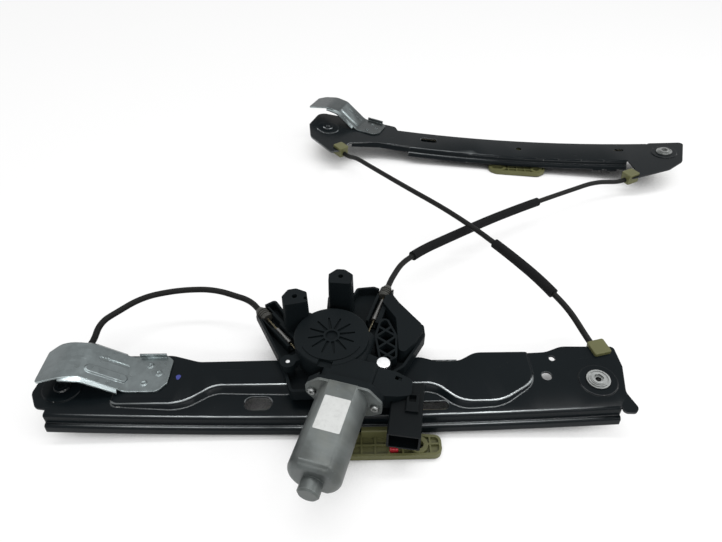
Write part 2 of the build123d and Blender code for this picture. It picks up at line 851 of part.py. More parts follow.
def wound_cable():
    """Turns of cable that lie on the drum, one each side of the leading groove."""
    section = Plane.XZ * Pos(groove_radius + cable_radius + 0.05, 0) * Circle(cable_radius)
    turn = revolve(section, Axis.Z)
    return Pos(0, 0, drum_middle_z - groove_pitch) * turn + Pos(0, 0, drum_middle_z + groove_pitch) * turn


def cable_drum():
    """Drum with cable grooves between two rims, and the dogs that the wheel drives."""
    grooves, pitch = 3, groove_pitch
    outer, rim = drum_radius - 0.4, drum_radius + 1.9
    low = drum_middle_z - pitch * grooves / 2
    points = [(drum_axle_diameter / 2 + 0.08, drum_low), (rim, drum_low), (rim, low)]
    for index in range(grooves):
        start = low + index * pitch
        points.append((outer, start))
        points.append((groove_radius, start + pitch / 2 - 0.4))
        points.append((groove_radius, start + pitch / 2 + 0.4))
    points += [(outer, low + grooves * pitch), (rim, low + grooves * pitch)]
    points += [(rim, drum_high), (9.0, drum_high), (9.0, wheel_low)]
    points += [(drum_axle_diameter / 2 + 0.08, wheel_low)]
    shape = revolve(Plane.XZ * make_face(Polyline(*points, close=True)), Axis.Z)
    for turn in range(0, 360, 60):
        shape -= Rot(0, 0, turn) * Pos(17, 0) * disc(4.2, drum_low - 1, drum_high + 1)
    return solid_of(shape)


wheel_pitch_radius = worm_offset - worm_radius
wheel_module = 2 * wheel_pitch_radius / wheel_teeth


def worm_wheel():
    """Moulded wheel with slanted teeth, throated to clear the worm's thread."""
    tip = wheel_pitch_radius + 0.7 * wheel_module
    root = wheel_pitch_radius - 1.0 * wheel_module
    lead_angle = degrees(atan2(wheel_module * pi, 2 * pi * worm_radius))
    half_tip, half_root = 0.20 * wheel_module * pi / 2, 0.62 * wheel_module * pi / 2
    tooth = make_face(
        Polyline(
            (root - 0.6, -half_root), (tip, -half_tip), (tip, half_tip), (root - 0.6, half_root), close=True
        )
    )
    twist = degrees(wheel_height * tan(radians(lead_angle)) / wheel_pitch_radius)
    shape = disc(root, wheel_low, wheel_high)
    low = Pos(0, 0, wheel_low) * Rot(0, 0, -twist / 2) * tooth
    high = Pos(0, 0, wheel_high) * Rot(0, 0, twist / 2) * tooth
    one_tooth = loft([low, high], ruled=True)
    pitch_angle = 360 / wheel_teeth
    teeth = [Rot(0, 0, index * pitch_angle - motor_turn) * one_tooth for index in range(wheel_teeth)]
    shape = shape + teeth
    shape -= tube(root - 3.2, 11.5, wheel_low + 3, wheel_high + 1)
    for turn in range(0, 360, 60):
        shape += Rot(0, 0, turn) * block(10.5, root - 2.5, -0.9, 0.9, wheel_low + 1, wheel_high - 1)
    shape -= disc(drum_axle_diameter / 2 + 0.08, 0, 90)
    return solid_of(shape)


def gearbox_lid():
    """Sheet lid that closes the worm wheel's chamber over the drum."""
    shape = disc(cover_radius - 1.5, lid_low, lid_low + lid_thickness)
    return solid_of(shape - disc(10.5, 0, 90))


# ---------------------------------------------------------------- gear housing

cover_low = lid_low
neck_width = 46.0
neck_height = 22.0
neck_start = 19.5                # from the worm's nearest point to the neck
tube_radius = 9.5
cover_web = 3.2


can_screw_reach = can_diameter / 2 + 6.0
can_screws = ((-can_screw_reach, 0), (can_screw_reach, -3))


def flange_face():
    """Outline of the joint between the gear housing and the motor's can."""
    side = can_diameter / 2
    return outline(
        (-side - 12, -5, 5),
        (2 - side, -19, 6),
        (side - 2, -19, 6),
        (side + 12, -10, 5),
        (side + 12, 4, 5),
        (side, 18, 6),
        (-side, 18, 6),
        (-side - 12, 6, 5),
    )


def cover_flutes():
    """Twelve radial flutes pressed into the housing's round face, and its hub hole."""
    flute = outline((7.5, -1.6, 0.5), (7.5, 1.6, 0.5), (22, 0.8, 0.7), (22, -0.8, 0.7))
    cutter = disc(5.6, cover_top_z - 2.4, cover_top_z + 1)
    for turn in range(0, 360, 30):
        cutter += Rot(0, 0, turn + 8) * prism(flute, cover_top_z - 1.8, cover_top_z + 1)
    arc = (Circle(30.2) - Circle(29.0)) & Pos(0, -26) * Rectangle(52, 26)
    return cutter + prism(arc, cover_top_z - 0.8, cover_top_z + 1)


def gear_housing():
    """Moulded gear housing: wheel pot, worm tube, brush neck and fixing ears."""
    pot = disc(cover_radius, cover_low, cover_top_z)
    pot = fillet(pot.faces().sort_by(Axis.Z)[-1].edges(), 1.6)
    tube_body = rod((0, 16, 0), (0, -flange_distance + 2, 0), tube_radius)
    neck_face = Pos(-1, 0) * RectangleRounded(neck_width, neck_height, 4)
    neck = Pos(0, 0, neck_start) * extrude(neck_face, amount=flange_distance - neck_start)
    neck += Pos(0, 0, flange_distance - 6) * extrude(flange_face(), amount=6)
    drive_body = drive * tube_body + shaft_frame * neck
    shape = pot + drive_body
    for x, y in gearbox_screws:
        reach = outline((x - 7, y - 7, 6.9), (x + 7, y - 7, 6.9), (x + 7, y + 7, 6.9), (x - 7, y + 7, 6.9))
        angle = degrees(atan2(y, x))
        arm = Rot(0, 0, angle) * Pos(sqrt(x * x + y * y) / 2 + 12, 0) * Rectangle(sqrt(x * x + y * y) - 24, 8)
        shape += prism(reach + arm, ear_low, ear_high)
        shape -= Pos(x, y) * disc(screw_radius + 0.4, 0, 90)
    low = cover_low + 1.6
    shape -= disc(cover_radius - 3.0, low, cover_top_z - cover_web - 2.4)
    shape -= disc(cover_radius - 1.5 + seat_gap, 0, low)
    shape -= disc(drum_axle_diameter / 2 + seat_gap, 0, wheel_high + 2.2)
    shape -= drive * rod((0, 13, 0), (0, -flange_distance - 1, 0), worm_radius + 1.6)
    neck_bore = extrude(RectangleRounded(neck_width - 8, neck_height - 6, 3), amount=60)
    shape -= shaft_frame * Pos(0, 0, 27.5) * neck_bore
    shape -= cover_flutes()
    shape -= drive * block(-30, -17, -36, -28.5, 8.6, 20)
    shape -= drive * block(-22.6, -16.6, -49, -45, 8.6, 20)
    for x, y in can_screws:
        shape -= shaft_frame * Pos(x, y, flange_distance - 7) * extrude(Circle(2.0), amount=8)
    return solid_of(shape)


# ---------------------------------------------------------------- motor


def can_section(grow):
    """Flattened round section of the motor's can."""
    radius = can_diameter / 2 + grow
    return Circle(radius) & Rectangle(4 * radius, 2 * (radius - 3.5))


def motor_can():
    """Deep-drawn steel can with its flange, shoulder and rear bearing boss."""
    outer = extrude(can_section(0), amount=can_length)
    outer = fillet(outer.faces().sort_by(Axis.Z)[-1].edges(), 6.5)
    inner = extrude(can_section(-can_wall), amount=can_length - can_wall)
    inner = fillet(inner.faces().sort_by(Axis.Z)[-1].edges(), 5.0)
    boss = Pos(0, -2, can_length - 4) * extrude(Circle(boss_diameter / 2), amount=boss_length + 4)
    boss = chamfer(boss.faces().sort_by(Axis.Z)[-1].edges(), 1.6)
    flange = extrude(flange_face(), amount=2.2)
    shape = outer + boss + flange - inner
    shape -= Pos(0, 0, can_length - 6) * extrude(Circle(5.0), amount=boss_length + 2)
    for x, y in can_screws:
        shape -= Pos(x, y, -1) * extrude(Circle(2.2), amount=5)
    return shaft_frame * Pos(0, 0, flange_distance) * solid_of(shape)


def motor_magnets():
    """Two arc magnets glued inside the can."""
    arcs = Circle(can_diameter / 2 - can_wall - 0.8) - Circle(can_diameter / 2 - can_wall - 5.4)
    arcs = arcs & Rectangle(60, 22)
    return shaft_frame * Pos(0, 0, flange_distance + 14) * extrude(arcs, amount=44)


core_radius = 13.5


def armature_shaft():
    """Motor shaft with the worm thread rolled into its front end."""
    end = flange_distance + can_length + 2
    shape = rod((0, 0, -12), (0, 0, end), 2.5) + rod((0, 0, -9), (0, 0, 11), worm_radius - 0.9)
    pitch = wheel_module * pi
    turns = 6
    radius = worm_radius - 0.9
    path = Pos(0, 0, -pitch * turns / 2) * Helix(pitch, pitch * turns, radius)
    thread = make_face(
        Polyline((-0.3, -0.62), (1.45, -0.28), (1.45, 0.28), (-0.3, 0.62), close=True)
    )
    start = Plane(origin=path @ 0, x_dir=Vector(1, 0, 0), z_dir=path % 0)
    return shaft_frame * solid_of(shape + sweep(start * thread, path=path, is_frenet=True))


def armature_core():
    """Slotted lamination stack and its windings."""
    stack = Circle(core_radius) - Circle(2.5)
    for index in range(10):
        stack -= Rot(0, 0, index * 36) * Pos(core_radius - 2.5, 0) * Rectangle(6, 1.8)
    core = Pos(0, 0, flange_distance + 20) * extrude(stack, amount=32)
    return shaft_frame * core


def armature_windings():
    """End turns of the copper windings on both faces of the core."""
    low = flange_distance + 20
    turns = Pos(0, 0, low - 5) * extrude(Circle(11) - Circle(2.5), amount=5)
    turns = fillet(turns.faces().sort_by(Axis.Z)[0].edges().sort_by(SortBy.RADIUS)[-1:], 2)
    far = Pos(0, 0, low + 32) * extrude(Circle(11) - Circle(2.5), amount=5)
    far = fillet(far.faces().sort_by(Axis.Z)[-1].edges().sort_by(SortBy.RADIUS)[-1:], 2)
    return shaft_frame * (turns + far)


def commutator():
    """Copper commutator with its bar slots."""
    bars = Circle(5.5) - Circle(2.5)
    for index in range(10):
        bars -= Rot(0, 0, index * 36) * Pos(5.5, 0) * Rectangle(1.2, 0.5)
    return shaft_frame * Pos(0, 0, flange_distance + 2) * extrude(bars, amount=12.5)


def brush_carrier():
    """Moulded plate that holds the brushes round the commutator."""
    plate = RectangleRounded(neck_width - 9, neck_height - 7, 3) - Circle(7)
    for side in (-1, 1):
        plate -= Pos(side * 11, 0) * Rectangle(12, 5.2)
    return shaft_frame * Pos(0, 0, flange_distance - 4) * extrude(plate, amount=3.9)


def brushes():
    """Two carbon brushes that bear on the commutator."""
    pair = block(5.6, 12, -2.4, 2.4, 4, 8.5) + block(-12, -5.6, -2.4, 2.4, 4, 8.5)
    return shaft_frame * Pos(0, 0, flange_distance) * pair


def shaft_bearings():
    """Sintered bushes at the two ends of the shaft."""
    rear = Pos(0, 0, can_length - 2) * extrude(Circle(4.95) - Circle(2.58), amount=4)
    front = Pos(0, 0, -flange_distance + 21.5) * extrude(Circle(worm_radius + 1.55) - Circle(2.58), amount=5)
    return shaft_frame * Pos(0, 0, flange_distance) * (rear + front)


def can_screw_set():
    """Two screws that clamp the can's flange to the gear housing."""
    shape = Part()
    for x, y in can_screws:
        head = Pos(x, y, 2.25) * extrude(Circle(3.9), amount=2.6)
        head = chamfer(head.faces().sort_by(Axis.Z)[-1].edges(), 0.8)
        head -= Pos(x, y, 3.6) * extrude(RegularPolygon(1.7, 6), amount=2)
        shape += head + Pos(x, y, -6) * extrude(Circle(1.95), amount=8.3)
    return shaft_frame * Pos(0, 0, flange_distance) * shape


# ---------------------------------------------------------------- fasteners


def gearbox_screw_set():
    """One headed screw and two studs that join the gear housing to the carrier."""
    shape = Part()
    for index, (x, y) in enumerate(gearbox_screws):
        place = Pos(x, y)
        if index == 1:
            head = disc(6.2, ear_high + 0.05, ear_high + 2.2)
            head = fillet(head.faces().sort_by(Axis.Z)[-1].edges(), 0.8)
            shape += place * (head + disc(screw_radius, pad_z + 4, ear_high + 0.1))
        else:
            shape += place * disc(screw_radius, pad_z + 4, ear_high - 0.8)
    return shape


def carrier_rivets():
    """Rivets that hold the carrier on the main rail's pad."""
    shape = Part()
    for x, y in carrier_rivet_places:
        seat = pad_z + carrier_plate + 1.25
        head = Pos(x, y) * disc(3.8, seat, seat + 1.6)
        head = chamfer(head.faces().sort_by(Axis.Z)[-1].edges(), 0.6)
        foot = Pos(x, y) * disc(3.8, pad_z - sheet - 1.25, pad_z - sheet - 0.05)
        shape += head + foot + Pos(x, y) * disc(rivet_radius, pad_z - sheet - 0.5, seat + 0.5)
    return shape


# ---------------------------------------------------------------- control unit

connector_width = 28.0
connector_height = 20.0
connector_depth = 53.0
connector_wall = 1.8
connector = Pos(68, -45, 36) * Rot(0, 0, -9)     # mouth towards its own -Y
board_z = 46.5
cover_box_low = 37.0
board_sheet = 1.5


def connector_housing():
    """Socket for the harness: mouth, latch window, keys and a chamber for the pins."""
    x, z = connector_width / 2, connector_height / 2
    shape = block(-x, x, 3 - connector_depth, 3, -z, z)
    shape = fillet(shape.edges().filter_by(Axis.Y), 1.6)
    latch = block(-1, 10, -28, -10.5, z - 1, z + 3.4)
    shape += chamfer(latch.faces().sort_by(Axis.Z)[-1].edges(), 0.8)
    inner_x, inner_z = x - connector_wall, z - connector_wall
    shape -= block(-inner_x, inner_x, 2 - connector_depth, -15, -inner_z, inner_z)
    shape -= block(-inner_x, 1.2, -9.5, 1, -inner_z, z + 1)
    shape -= block(1.4, 7.6, -19, -12, z - connector_wall + 0.8, z + 5)
    for side in (-1, 1):
        shape += block(side * inner_x - 0.7, side * inner_x + 0.7, -30, -14, -1.0, 1.0)
    for pin_x, pin_z in pin_places():
        shape -= rod((pin_x, -16, pin_z), (pin_x, -8, pin_z), pin_radius + seat_gap)
    return connector * solid_of(shape)


pin_radius = 0.6
pin_backs = (-6.5, -2.5)


def pin_places():
    """Cross and height of each contact pin in the socket."""
    return [(2.6 * column - 8.2, row) for row in (-3.0, 3.0) for column in range(4)]


def connector_pins():
    """Bent contact pins from the control board into the socket."""
    shape = Part()
    for x, z in pin_places():
        back = pin_backs[0] if z > 0 else pin_backs[1]
        top = board_z - 36 + board_sheet + 0.3
        forward = rod((x, -28, z), (x, back, z), pin_radius)
        upward = rod((x, back, z), (x, back, top), pin_radius)
        shape += forward + upward + Pos(x, back, z) * Sphere(pin_radius)
    return connector * shape


def cover_outline():
    """Plan outline of the control unit beside the neck, in the drive's frame."""
    left = neck_width / 2 - 1 + seat_gap
    return outline(
        (left, -21, 2),
        (38, -18, 6),
        (53, -20, 4),
        (55, -35, 4),
        (44, -42, 6),
        (34, -46, 4),
        (left, -46, 2),
    )


def connector_space(gap):
    """Room that the socket takes up, with a gap all round."""
    x, z = connector_width / 2 + gap, connector_height / 2 + gap
    space = block(-x, x, 2 - connector_depth, 3 + gap, -z, z)
    space += block(-1 - gap, 10 + gap, -28 - gap, -10.5 + gap, z - 1, z + 3.4 + gap)
    return connector * space


def control_cover():
    """Moulded cover of the control board, with a top that falls away from the neck."""
    low, high, wall = cover_box_low, 59.0, 1.8
    face = cover_outline()
    slope = Pos(22, -30, high - 0.6) * Rot(0, 15, 0)
    shape = drive * Pos(0, 0, -motor_axis_z) * (prism(face, low, high) - slope * block(-40, 60, -60, 60, 0, 40))
    inner = prism(offset(face, -wall), low - 1, high - wall) - slope * block(-40, 60, -60, 60, -wall, 40)
    shape -= drive * Pos(0, 0, -motor_axis_z) * inner
    shape -= connector_space(seat_gap)
    rib = drive * block(30, 31.2, -40, -22, -4, 1)
    shape -= drive * block(38, 44, -26, -22, 1.5, 20)
    return solid_of(shape + (rib & drive * Pos(0, 0, -motor_axis_z) * inner))


def control_board():
    """Circuit board with its relay and chips."""
    face = outline((25, -24, 1), (38, -21.5, 1), (50, -23, 1), (51, -33, 1), (43, -39, 1), (25, -43, 1))
    board = drive * Pos(0, 0, board_z - motor_axis_z) * extrude(face, amount=board_sheet)
    for x, z in pin_places():
        back = pin_backs[0] if z > 0 else pin_backs[1]
        board -= connector * Pos(x, back) * disc(pin_radius + seat_gap, 0, 20)
    under = board_z - motor_axis_z
    board += drive * block(26, 36, -42, -29, under - 7, under + 0.2)
    board += drive * block(27, 33, -28, -25, under - 2, under + 0.2)
    return solid_of(board)


# ---------------------------------------------------------------- carriages


def shoe_section(wall, outward, foot_from, foot_to):
    """C section of a shoe that hooks round a track's ledge and lip.

    Drawn for a wall whose outer face is at ``wall``, with the ledge on its ``outward``
    side.  The foot runs under the lip from ``foot_from`` to ``foot_to`` inside it.
    """
    gap = running_gap
    bottom = gap + shoe_floor + track_upper + track_lower
    corners = (
        (track_ledge + 5.0, -bottom, 1.5),
        (foot_to, -bottom, 0.5),
        (foot_to, -bottom + foot_from, 0.5),
        (-5.0, -bottom + foot_from, 0.6),
        (-5.0, -track_upper - gap, 0.5),
        (track_ledge - sheet - gap, -track_upper - gap, 1.4),
        (track_ledge - sheet - gap, -track_upper - track_lower - gap, 0.4),
        (track_ledge + gap, -track_upper - track_lower - gap, 0.4),
        (track_ledge + gap, sheet - track_upper + gap, 0),
        (gap, sheet - track_upper + gap, 1.4),
        (gap, sheet - track_upper + gap + 2.4, 0.6),
        (track_ledge + 5.0, sheet - track_upper + gap + 2.4, 1.5),
    )
    placed = [(wall + outward * across, lift, radius) for across, lift, radius in corners]
    return outline(*placed)


def cable_clamp(rail, across, side, base, half):
    """Block that grips the cable beside a shoe, with a pocket for the nipple."""
    low, high = -surface_z + base, -3.2
    edge = side * (2.5 + 2.6)
    t_from, t_to = sorted((across - edge, across + side * 9))
    shape = rail.slab(-half, half, t_from, t_to, low, high)
    shape -= rail.slab(-half - 1, half + 1, across - 1.3, across + 1.3, -cable_drop - 1.3, 0)
    shape -= rail.slab(-nipple_length / 2 - 0.2, nipple_length / 2 + 0.2, across - 2.75, across + 2.75, -9.3, 0)
    return shape


nipple_length = 12.0
plate_height = 6.5               # main carriage's plate over the floor
main_rim_height = 7.7
second_plate_height = 5.9
second_rim_height = 6.25         # passes under the second rail's clip tab


def glass_fixings(rail, shape, hole_s, slot_s, t, rim_height):
    """Cut the round hole and the slot for the glass fixings, with raised rims."""
    low, top = -surface_z, -surface_z + rim_height
    for s, reach in ((hole_s, 0), (slot_s, 8)):
        collar = rail.local(s, t) * prism(SlotOverall(16.02 + reach, 16), low + 0.6, top)
        shape += collar
    shape -= rail.local(hole_s, t) * disc(glass_hole_radius, low - 2, top + 2)
    slot = SlotOverall(2 * glass_hole_radius + 8, 2 * glass_hole_radius)
    return shape - rail.local(slot_s, t) * prism(slot, low - 2, top + 2)


def main_carriage():
    """Moulded slider of the main rail: shoe, glass plate, ribs and cable clamp."""
    half = main_plate_length / 2
    low, top = -surface_z, -surface_z + plate_height
    face = outline(
        (-half, -85, 6),
        (-half + 12, -90, 12),
        (half, -90, 7),
        (half, -71, 6),
        (shoe_length / 2 + 4, -68, 3),
        (-shoe_length / 2 - 4, -68, 3),
        (-half, -71, 6),
    )
    plate = main.slab(-half, half, -91, -67, low, top) & prism(face, -40, 40)
    hollow = main.slab(-half, half, -91, -67, top - 3.2, top + 1) & prism(offset(face, -2.4), -40, 40)
    ribs = main.slab(-half, half, -91, -67, top - 3.4, top - 0.3)
    grid = Sketch()
    for s in range(-48, 49, 12):
        grid += Pos(s, -79) * Rectangle(1.6, 30)
    grid += Pos(0, -79) * Rectangle(2 * half, 1.6)
    shape = plate - hollow + (ribs & prism(grid & face, -40, 40))
    section = shoe_section(main_track_y, -1, 2.6, -16.0)
    shoe = main.sweep(section, -shoe_length / 2, shoe_length / 2)
    for side in (-1, 1):
        cut = main.slab(side * 13 - 1.2, side * 13 + 1.2, -73, main_track_y, -surface_z + plate_height, 0)
        shoe -= cut
    shape += shoe
    shape += cable_clamp(main, main_cable_t, 1, 0.2, 14)
    track = main.slab(-60, 60, -66.35, -64.15, -19.85, 0) + main.slab(-60, 60, -66.4, -60.2, -12.35, 0)
    shape = glass_fixings(main, shape, 38, -38, -80, main_rim_height)
    shape -= main.slab(12, 20, -86, -76, top - 3.2, top + 1)
    beyond_track = track & prism(Pos(0, -64) * Rectangle(120, 6), -60, 0)
    return main.local(main_carriage_s, 0) * solid_of(shape - beyond_track)


def second_carriage():
    """Moulded slider of the second rail, with its glass plate under the near wall."""
    half = second_plate_length / 2
    low, top = -surface_z, -surface_z + second_plate_height
    face = outline(
        (-half, -13, 6),
        (-half + 9, -22, 9),
        (half - 9, -22, 9),
        (half, -13, 6),
        (half, 2, 6),
        (shoe_length / 2, 8, 4),
        (shoe_length / 2, 44, 2),
        (-shoe_length / 2, 44, 2),
        (-shoe_length / 2, 8, 4),
        (-half, 2, 6),
    )
    plate = second.slab(-half, half, -25, 44.5, low, top) & prism(face, -40, 40)
    hollow = second.slab(-half, half, -25, 30, top - 3.2, top + 1) & prism(offset(face, -2.4), -40, 40)
    ribs = second.slab(-half, half, -25, 30, top - 3.4, top - 0.3)
    grid = Sketch()
    for s in range(-36, 37, 12):
        grid += Pos(s, 3) * Rectangle(1.6, 60)
    for t in (-12, 12):
        grid += Pos(0, t) * Rectangle(2 * half, 1.6)
    shape = plate - hollow + (ribs & prism(grid & face, -40, 40))
    section = shoe_section(second_track_t, 1, 2.6, -16.0)
    shape += second.sweep(section, -shoe_length / 2, shoe_length / 2)
    shape += cable_clamp(second, second_cable_t, -1, 0.2, 14)
    shape = glass_fixings(second, shape, 28, -28, -12, second_rim_height)
    return second.local(second_carriage_s, 0) * solid_of(shape)


def nipple(rail, across, s):
    """Crimped nipple that ties the cable to a carriage."""
    shape = rail.slab(-nipple_length / 2, nipple_length / 2, across - 3, across + 3, -9, -3)
    shape = shape & rail.sweep(Pos(across, -cable_drop) * Circle(2.6), -9, 9)
    shape -= rail.sweep(Pos(across, -cable_drop) * Circle(cable_radius + running_gap), -9, 9)
    return rail.frame * rail.local(s, 0) * solid_of(shape)


def glass_lock():
    """Sliding lock key that holds the glass fixing in the main carriage."""
    top = -surface_z + plate_height
    key = main.slab(12.3, 19.7, -85.6, -76.4, top - 3.1, top + 2.4)
    key = fillet(key.faces().sort_by(Axis.Z)[-1].edges(), 0.8)
    key -= main.slab(14.6, 17.4, -83, -79, top, top + 4)
    return main.frame * main.local(main_carriage_s, 0) * solid_of(key)


# ---------------------------------------------------------------- build

parts["main_rail"] = main_rail()
parts["second_rail"] = second_rail()
parts["main_bracket"] = Pos(-160, -20, pad_z + 0.02) * fixing_bracket(main_flap)
second_bracket_seat = second.at(second_bracket_inset - second_pulley_s, 33, 0.14) * Rot(0, 0, -15)
parts["second_bracket"] = second_bracket_seat * fixing_bracket(second_flap)
for name, station in stations.items():
    parts[name + "_conduit_seat"] = conduit_seat(station)
    parts[name + "_pulley"] = pulley(station)
    if station.s < 0:
        parts[name + "_rivet"] = pulley_rivet(station)
    else:
        parts[name + "_bush"] = fixing_bush(station)
parts["main_cable"] = strand(main, ("main_left", "main_right"), -1)
parts["second_cable"] = strand(second, ("second_left", "second_right"), 1)
parts["left_conduit"] = left_conduit()
parts["right_conduit"] = route(right_points(), conduit_diameter, "right_conduit")
parts["cross_conduit"] = route(cross_points(), conduit_diameter, "cross_conduit")
for name, outlet in outlets.items():
    parts[name + "_outlet_cap"] = outlet_cap(outlet)
    parts[name + "_ferrule"] = ferrule(outlet, 2.3 if name == "left" else 1.6)
    parts[name + "_drum_cable"] = outlet_cable(outlet)

parts["right_sleeve"] = sleeve(right_points(), 3, 6)
parts["cross_sleeve"] = sleeve(cross_points(), 7, 8)
parts["carrier"] = carrier()
parts["carrier_rivets"] = carrier_rivets()
parts["wound_cable"] = wound_cable()
parts["gearbox_screws"] = gearbox_screw_set()
parts["connector_housing"] = connector_housing()
parts["connector_pins"] = connector_pins()
parts["control_cover"] = control_cover()
parts["control_board"] = control_board()
parts["main_carriage"] = main.frame * main_carriage()
parts["second_carriage"] = second.frame * second_carriage()
parts["main_nipple"] = nipple(main, main_cable_t, main_carriage_s)
parts["second_nipple"] = nipple(second, second_cable_t, second_carriage_s)
parts["glass_lock"] = glass_lock()
parts["drum_axle"] = drum_axle()
parts["cable_drum"] = cable_drum()
parts["worm_wheel"] = worm_wheel()
parts["gearbox_lid"] = gearbox_lid()
parts["gear_housing"] = gear_housing()
parts["motor_can"] = motor_can()
parts["motor_magnets"] = motor_magnets()
parts["armature_shaft"] = armature_shaft()
parts["armature_core"] = armature_core()
parts["armature_windings"] = armature_windings()
parts["commutator"] = commutator()
parts["brush_carrier"] = brush_carrier()
parts["brushes"] = brushes()
parts["shaft_bearings"] = shaft_bearings()
parts["can_screws"] = can_screw_set()

whole = Compound([solid for shape in parts.values() for solid in shape.solids()]).bounding_box()
origin_shift = Pos(-whole.center().X, -whole.center().Y, -whole.min.Z)

os.makedirs("parts", exist_ok=True)
for name, shape in parts.items():
    export_step(origin_shift * shape, "parts/" + name + ".step")
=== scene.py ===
from math import cos, pi, radians, sin

import bpy
from bpy.props import FloatProperty, FloatVectorProperty, PointerProperty
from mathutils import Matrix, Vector


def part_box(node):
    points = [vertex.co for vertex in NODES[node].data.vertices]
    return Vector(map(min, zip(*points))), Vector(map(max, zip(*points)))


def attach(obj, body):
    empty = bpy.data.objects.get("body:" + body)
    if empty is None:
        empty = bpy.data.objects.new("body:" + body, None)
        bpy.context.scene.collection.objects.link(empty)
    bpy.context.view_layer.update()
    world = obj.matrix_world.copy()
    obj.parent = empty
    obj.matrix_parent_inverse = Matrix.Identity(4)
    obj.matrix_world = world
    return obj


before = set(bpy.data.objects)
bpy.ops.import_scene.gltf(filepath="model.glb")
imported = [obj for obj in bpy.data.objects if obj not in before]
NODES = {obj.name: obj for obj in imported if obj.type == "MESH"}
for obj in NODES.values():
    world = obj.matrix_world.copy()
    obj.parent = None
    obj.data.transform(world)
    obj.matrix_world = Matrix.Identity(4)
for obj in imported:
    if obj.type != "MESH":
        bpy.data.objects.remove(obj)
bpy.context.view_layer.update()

bl_info = {
    "name": "Window regulator looks",
    "version": (1, 0, 0),
    "blender": (4, 5, 0),
    "location": "View3D > Sidebar > Regulator",
    "description": "Finishes and trim of a two-rail cable window regulator",
    "category": "Object",
}

# A millimetre, in metres.
MM = 0.001

# The way that painted light is set by: folds and edges facing it get painted highlights, bracket rims facing
# away get painted shade.
FRONT = (0.0, -1.0, 0.0)

# The motor's axis: beside the drum's axis, above the floor and turned in plan, in millimetres and degrees.
WORM_OFFSET = 28.0
MOTOR_AXIS_Z = 50.0
MOTOR_TURN = 17.0

# The flat of the can over its axis, and the label's middle on it: along from the worm and across.
CAN_FLAT_HEIGHT = 18.5
LABEL_ALONG = 83.0
LABEL_ACROSS = 0.4

# The paint mark beside the main bracket: its middle and half its width and length.
MARK_X, MARK_Y = -141.9, -21.3
MARK_HALF_WIDTH, MARK_HALF_LENGTH = 2.2, 2.8
MARK_CORNERS = 18

# How fast the painted highlights on the rails' folds fade along the rail: 17 per square metre leaves none
# 240 mm away.
PAINTED_HIGHLIGHT_FADE = 17

# The camera, in millimetres from the drum's axis, and its turn in plan in degrees.
CAMERA_AT = (22.14, -329.41, 437.0)
CAMERA_TURN = -0.84

# Half the floor's width, how far it lies under the part and how near a piece must be to shade it, in metres.
FLOOR_REACH = 6.0
FLOOR_GAP = 0.0004
SHADE_REACH = 0.09

# The drum's axis, which every place below is measured from.
AXLE_LOW, AXLE_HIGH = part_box("drum_axle")
DRUM = Vector(((AXLE_LOW.x + AXLE_HIGH.x) / 2, (AXLE_LOW.y + AXLE_HIGH.y) / 2, 0.0))


def place(x, y, z):
    """A point in millimetres from the drum's axis and the floor, in the frame's metres."""
    return DRUM + Vector((x, y, z)) * MM


# ---------------------------------------------------------------- shader building


class Maths:
    """A node socket that adds Math nodes when it is used in an expression."""

    def __init__(self, graph, socket):
        self.graph = graph
        self.socket = socket

    def _do(self, operation, *values, clamp=False):
        inputs = {index: value for index, value in enumerate(values)}
        return self.graph.add("ShaderNodeMath", {"operation": operation, "use_clamp": clamp}, inputs)

    def __add__(self, other):
        return self._do("ADD", self, other)

    __radd__ = __add__

    def __sub__(self, other):
        return self._do("SUBTRACT", self, other)

    def __rsub__(self, other):
        return self._do("SUBTRACT", other, self)

    def __mul__(self, other):
        return self._do("MULTIPLY", self, other)

    __rmul__ = __mul__

    def clamp(self):
        """The value kept between 0 and 1."""
        return self._do("ADD", self, 0.0, clamp=True)

    def wave(self):
        """The sine of the value."""
        return self._do("SINE", self)


